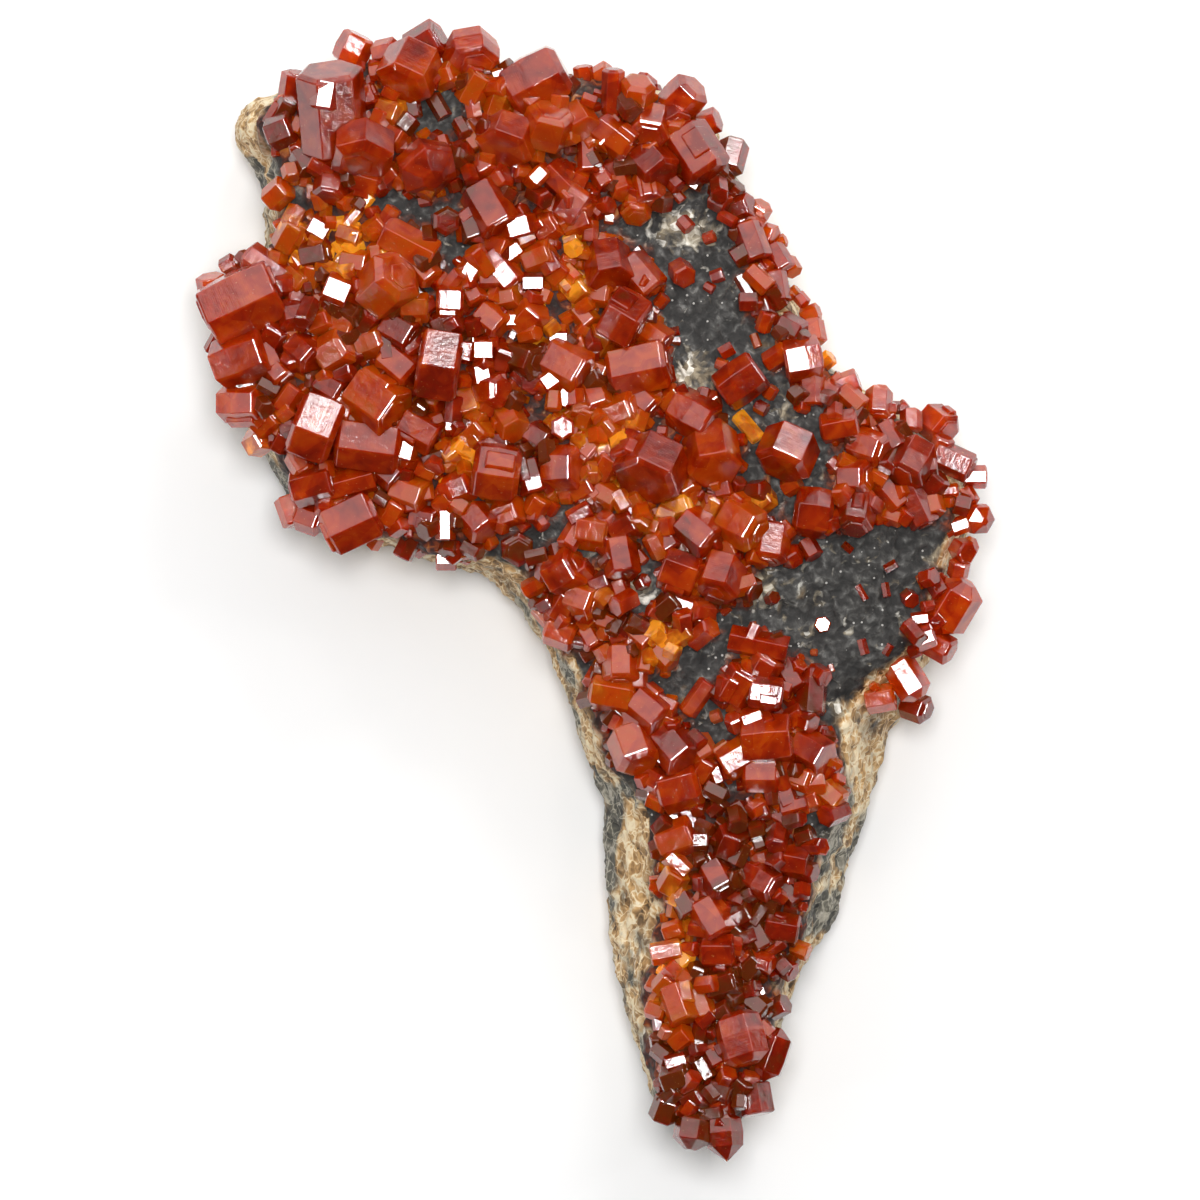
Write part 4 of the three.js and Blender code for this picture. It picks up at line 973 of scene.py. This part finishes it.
def crystal_surface(look):
    """Growth lines along the crystal and waves on its faces, as bump and roughness."""
    growth = look.nodes.new("ShaderNodeUVMap")
    growth.uv_map = "growth"
    stretch = look.nodes.new("ShaderNodeMapping")
    stretch.inputs["Scale"].default_value = (9.0, 0.5, 1)
    look.feed(stretch.inputs["Vector"], growth.outputs["UV"])
    lines = look.noise(stretch.outputs["Vector"], LINE_SCALE, 3)
    waves = look.noise(growth.outputs["UV"], WAVE_SCALE, 4)
    look.bump(look.plus(look.times(lines, 0.4), waves), strength=0.25, distance=0.12 * MM)
    look.feed(look.shader.inputs["Roughness"], look.times(waves, 0.16))


def crystal_material():
    look = Look("vanadinite")
    crystal_colour(look)
    crystal_surface(look)
    shader = look.shader
    # Strength of the painted glow of the amber and gold tones.
    shader.inputs["Emission Strength"].default_value = 1.0
    shader.inputs["IOR"].default_value = 2.0
    shader.inputs["Transmission Weight"].default_value = 0.45
    shader.inputs["Subsurface Weight"].default_value = 1.0
    shader.inputs["Subsurface Radius"].default_value = (1.0, 0.26, 0.05)
    shader.inputs["Subsurface Scale"].default_value = 0.001
    depth = look.nodes.new("ShaderNodeVolumeAbsorption")
    depth.inputs["Color"].default_value = (0.98, 0.45, 0.15, 1)
    depth.inputs["Density"].default_value = 400
    look.feed(look.nodes["Material Output"].inputs["Volume"], depth.outputs["Volume"])
    return look.material


def felted_side(look, place, felt, relief):
    """The dark upper side, with pale flecks painted on as glints of its tiny crystals."""
    glint_cell, glint_size = look.cells(place, PAINTED_GLINT_SCALE)
    felted = look.ramp(look.plus(felt, look.times(look.minus(relief, 0.45), 0.25)), FELTED)
    # Painted glints: a few small cells are made pale, as if tiny crystals caught the light.
    chosen = look.maths("GREATER_THAN", glint_cell, 0.74)
    painted_glint = look.times(chosen, look.maths("LESS_THAN", glint_size, 0.17))
    return look.mix(look.times(painted_glint, 0.7), felted, PAINTED_GLINT_COLOUR)


def broken_flank(look, place, fine, relief):
    """The flanks: plates with dark and pale edges, brown here and grey there."""
    bent = look.bent(place, PLATE_SCALE, PLATE_WARP)
    plate, _ = look.cells(bent, PLATE_SCALE)
    plate_edge = look.voronoi(bent, PLATE_SCALE, "DISTANCE_TO_EDGE").outputs["Distance"]
    rim = look.ramp(plate_edge, ((0.0, grey(0.20)), (0.09, grey(0.0))))
    tints = look.maths("MULTIPLY_ADD", plate, 0.16, look.plus(rim, -0.165))
    shade = look.plus(look.plus(look.times(fine, 0.88), look.times(relief, 0.26)), tints)
    broad = look.noise(place, BROAD_SCALE, 3, 0.5)
    greyness = look.plus(broad, look.times(look.attribute("grey"), 0.35))
    greyer = look.ramp(greyness, ((0.50, grey(0)), (0.62, grey(1))))
    return look.mix(greyer, look.ramp(shade, BROWN_FLANK), look.ramp(shade, GREY_FLANK))


def rock_material():
    look = Look("matrix_rock")
    place = look.place()
    relief = look.attribute("relief")
    felt = look.noise(place, FELT_SCALE, 6, 0.4)
    fine = look.noise(place, FINE_SCALE, 6, 0.9)
    top = felted_side(look, place, felt, relief)
    flank = broken_flank(look, place, fine, relief)
    colour = look.mix(look.attribute("upper"), flank, top)
    chip, _ = look.cells(place, CHIP_SCALE)
    golden = look.ramp(look.plus(look.times(chip, 0.7), look.minus(fine, 0.3)), GOLDEN)
    patchy = look.minus(look.times(fine, 4.0), 2.45)
    showing = look.maths("MULTIPLY_ADD", look.attribute("pale"), 1.3, patchy, clamp=True)
    colour = look.mix(showing, colour, golden)
    colour = look.mix(look.attribute("crust"), colour, look.ramp(fine, RED_GRAINS))
    look.feed(look.shader.inputs["Base Color"], colour)
    gloss = look.ramp(felt, ((0.5, grey(0.75)), (0.7, grey(0.4))))
    look.feed(look.shader.inputs["Roughness"], gloss)
    look.bump(look.plus(felt, fine), strength=0.8, distance=0.2 * MM)
    return look.material


CRYSTAL = crystal_material()
ROCK = rock_material()


def dress(piece, look):
    piece.data.materials.clear()
    piece.data.materials.append(look)


# ------------------------------
# Riding and replacing

dress(rock, ROCK)
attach(rock, "root")
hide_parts("matrix")

AMBER_NODES = ("lobe_amber_crystal", "glowing_prism", "ledge_amber_crystal")
for node, piece in crystal_pieces.items():
    dress(piece, CRYSTAL)
    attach(piece, "root")
    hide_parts(node)
    if node in AMBER_NODES:
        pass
    elif node in LONE_CRYSTALS:
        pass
    else:
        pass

dress(scattered, CRYSTAL)
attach(scattered, "root")


# ------------------------------
# Floor, light and camera

FLOOR_SIZE = 3.0
FLOOR_GAP = 0.05 * MM
AIM = (0, 0, 0.015)        # where every softbox points
SPARK = (0.035, 0.035)     # size of the small lights that make faces flash

# Softboxes: name, place, size and brightness, in metres.
SOFTBOXES = (
    ("top_window", (0, 0.42, 0.50), (1.0, 0.70), 1.05),
    ("key_near_lens", (0.01, 0.04, 0.62), (0.15, 0.15), 37.0),
    ("left_fill", (-0.5, 0.05, 0.35), (0.3, 0.4), 0.9),
    ("right_spark", (0.34, 0.12, 0.34), SPARK, 25),
    ("left_spark", (-0.38, -0.14, 0.34), SPARK, 25),
    ("low_spark", (0.16, -0.36, 0.34), SPARK, 25),
    ("rear_spark", (0.20, 0.36, 0.30), SPARK, 25),
    ("far_spark", (0.12, 0.44, 0.39), (0.13, 0.09), 13),
)


def pale_floor():
    bpy.ops.mesh.primitive_plane_add(size=FLOOR_SIZE, location=(0, 0, -FLOOR_GAP))
    floor = bpy.context.object
    floor.name = "floor"
    look = Look("pale_floor")
    look.shader.inputs["Base Color"].default_value = (0.95, 0.95, 0.95, 1)
    look.shader.inputs["Roughness"].default_value = 0.9
    dress(floor, look.material)


def softbox(name, place, size, radiance):
    light = bpy.data.lights.new(name, "AREA")
    light.shape = "RECTANGLE"
    light.size, light.size_y = size
    light.energy = radiance * math.pi * size[0] * size[1]
    box = bpy.data.objects.new(name, light)
    box.location = place
    box.rotation_euler = (Vector(AIM) - Vector(place)).to_track_quat("-Z", "Y").to_euler()
    bpy.context.scene.collection.objects.link(box)


def studio():
    world = bpy.data.worlds.new("studio")
    world.use_nodes = True
    background = world.node_tree.nodes["Background"]
    background.inputs["Color"].default_value = (0.96, 0.98, 1.0, 1)
    background.inputs["Strength"].default_value = 0.02
    bpy.context.scene.world = world
    for name, place, size, radiance in SOFTBOXES:
        softbox(name, place, size, radiance)
    bpy.context.scene.view_settings.view_transform = "Standard"


def camera():
    lens = bpy.data.cameras.new("camera")
    lens.lens = 200
    lens.sensor_width = 36
    lens.clip_start = 0.01
    lens.clip_end = 10
    eye = bpy.data.objects.new("camera", lens)
    eye.location = (0.75 * MM, -0.45 * MM, 0.517)
    bpy.context.scene.collection.objects.link(eye)
    bpy.context.scene.camera = eye


pale_floor()
studio()
camera()
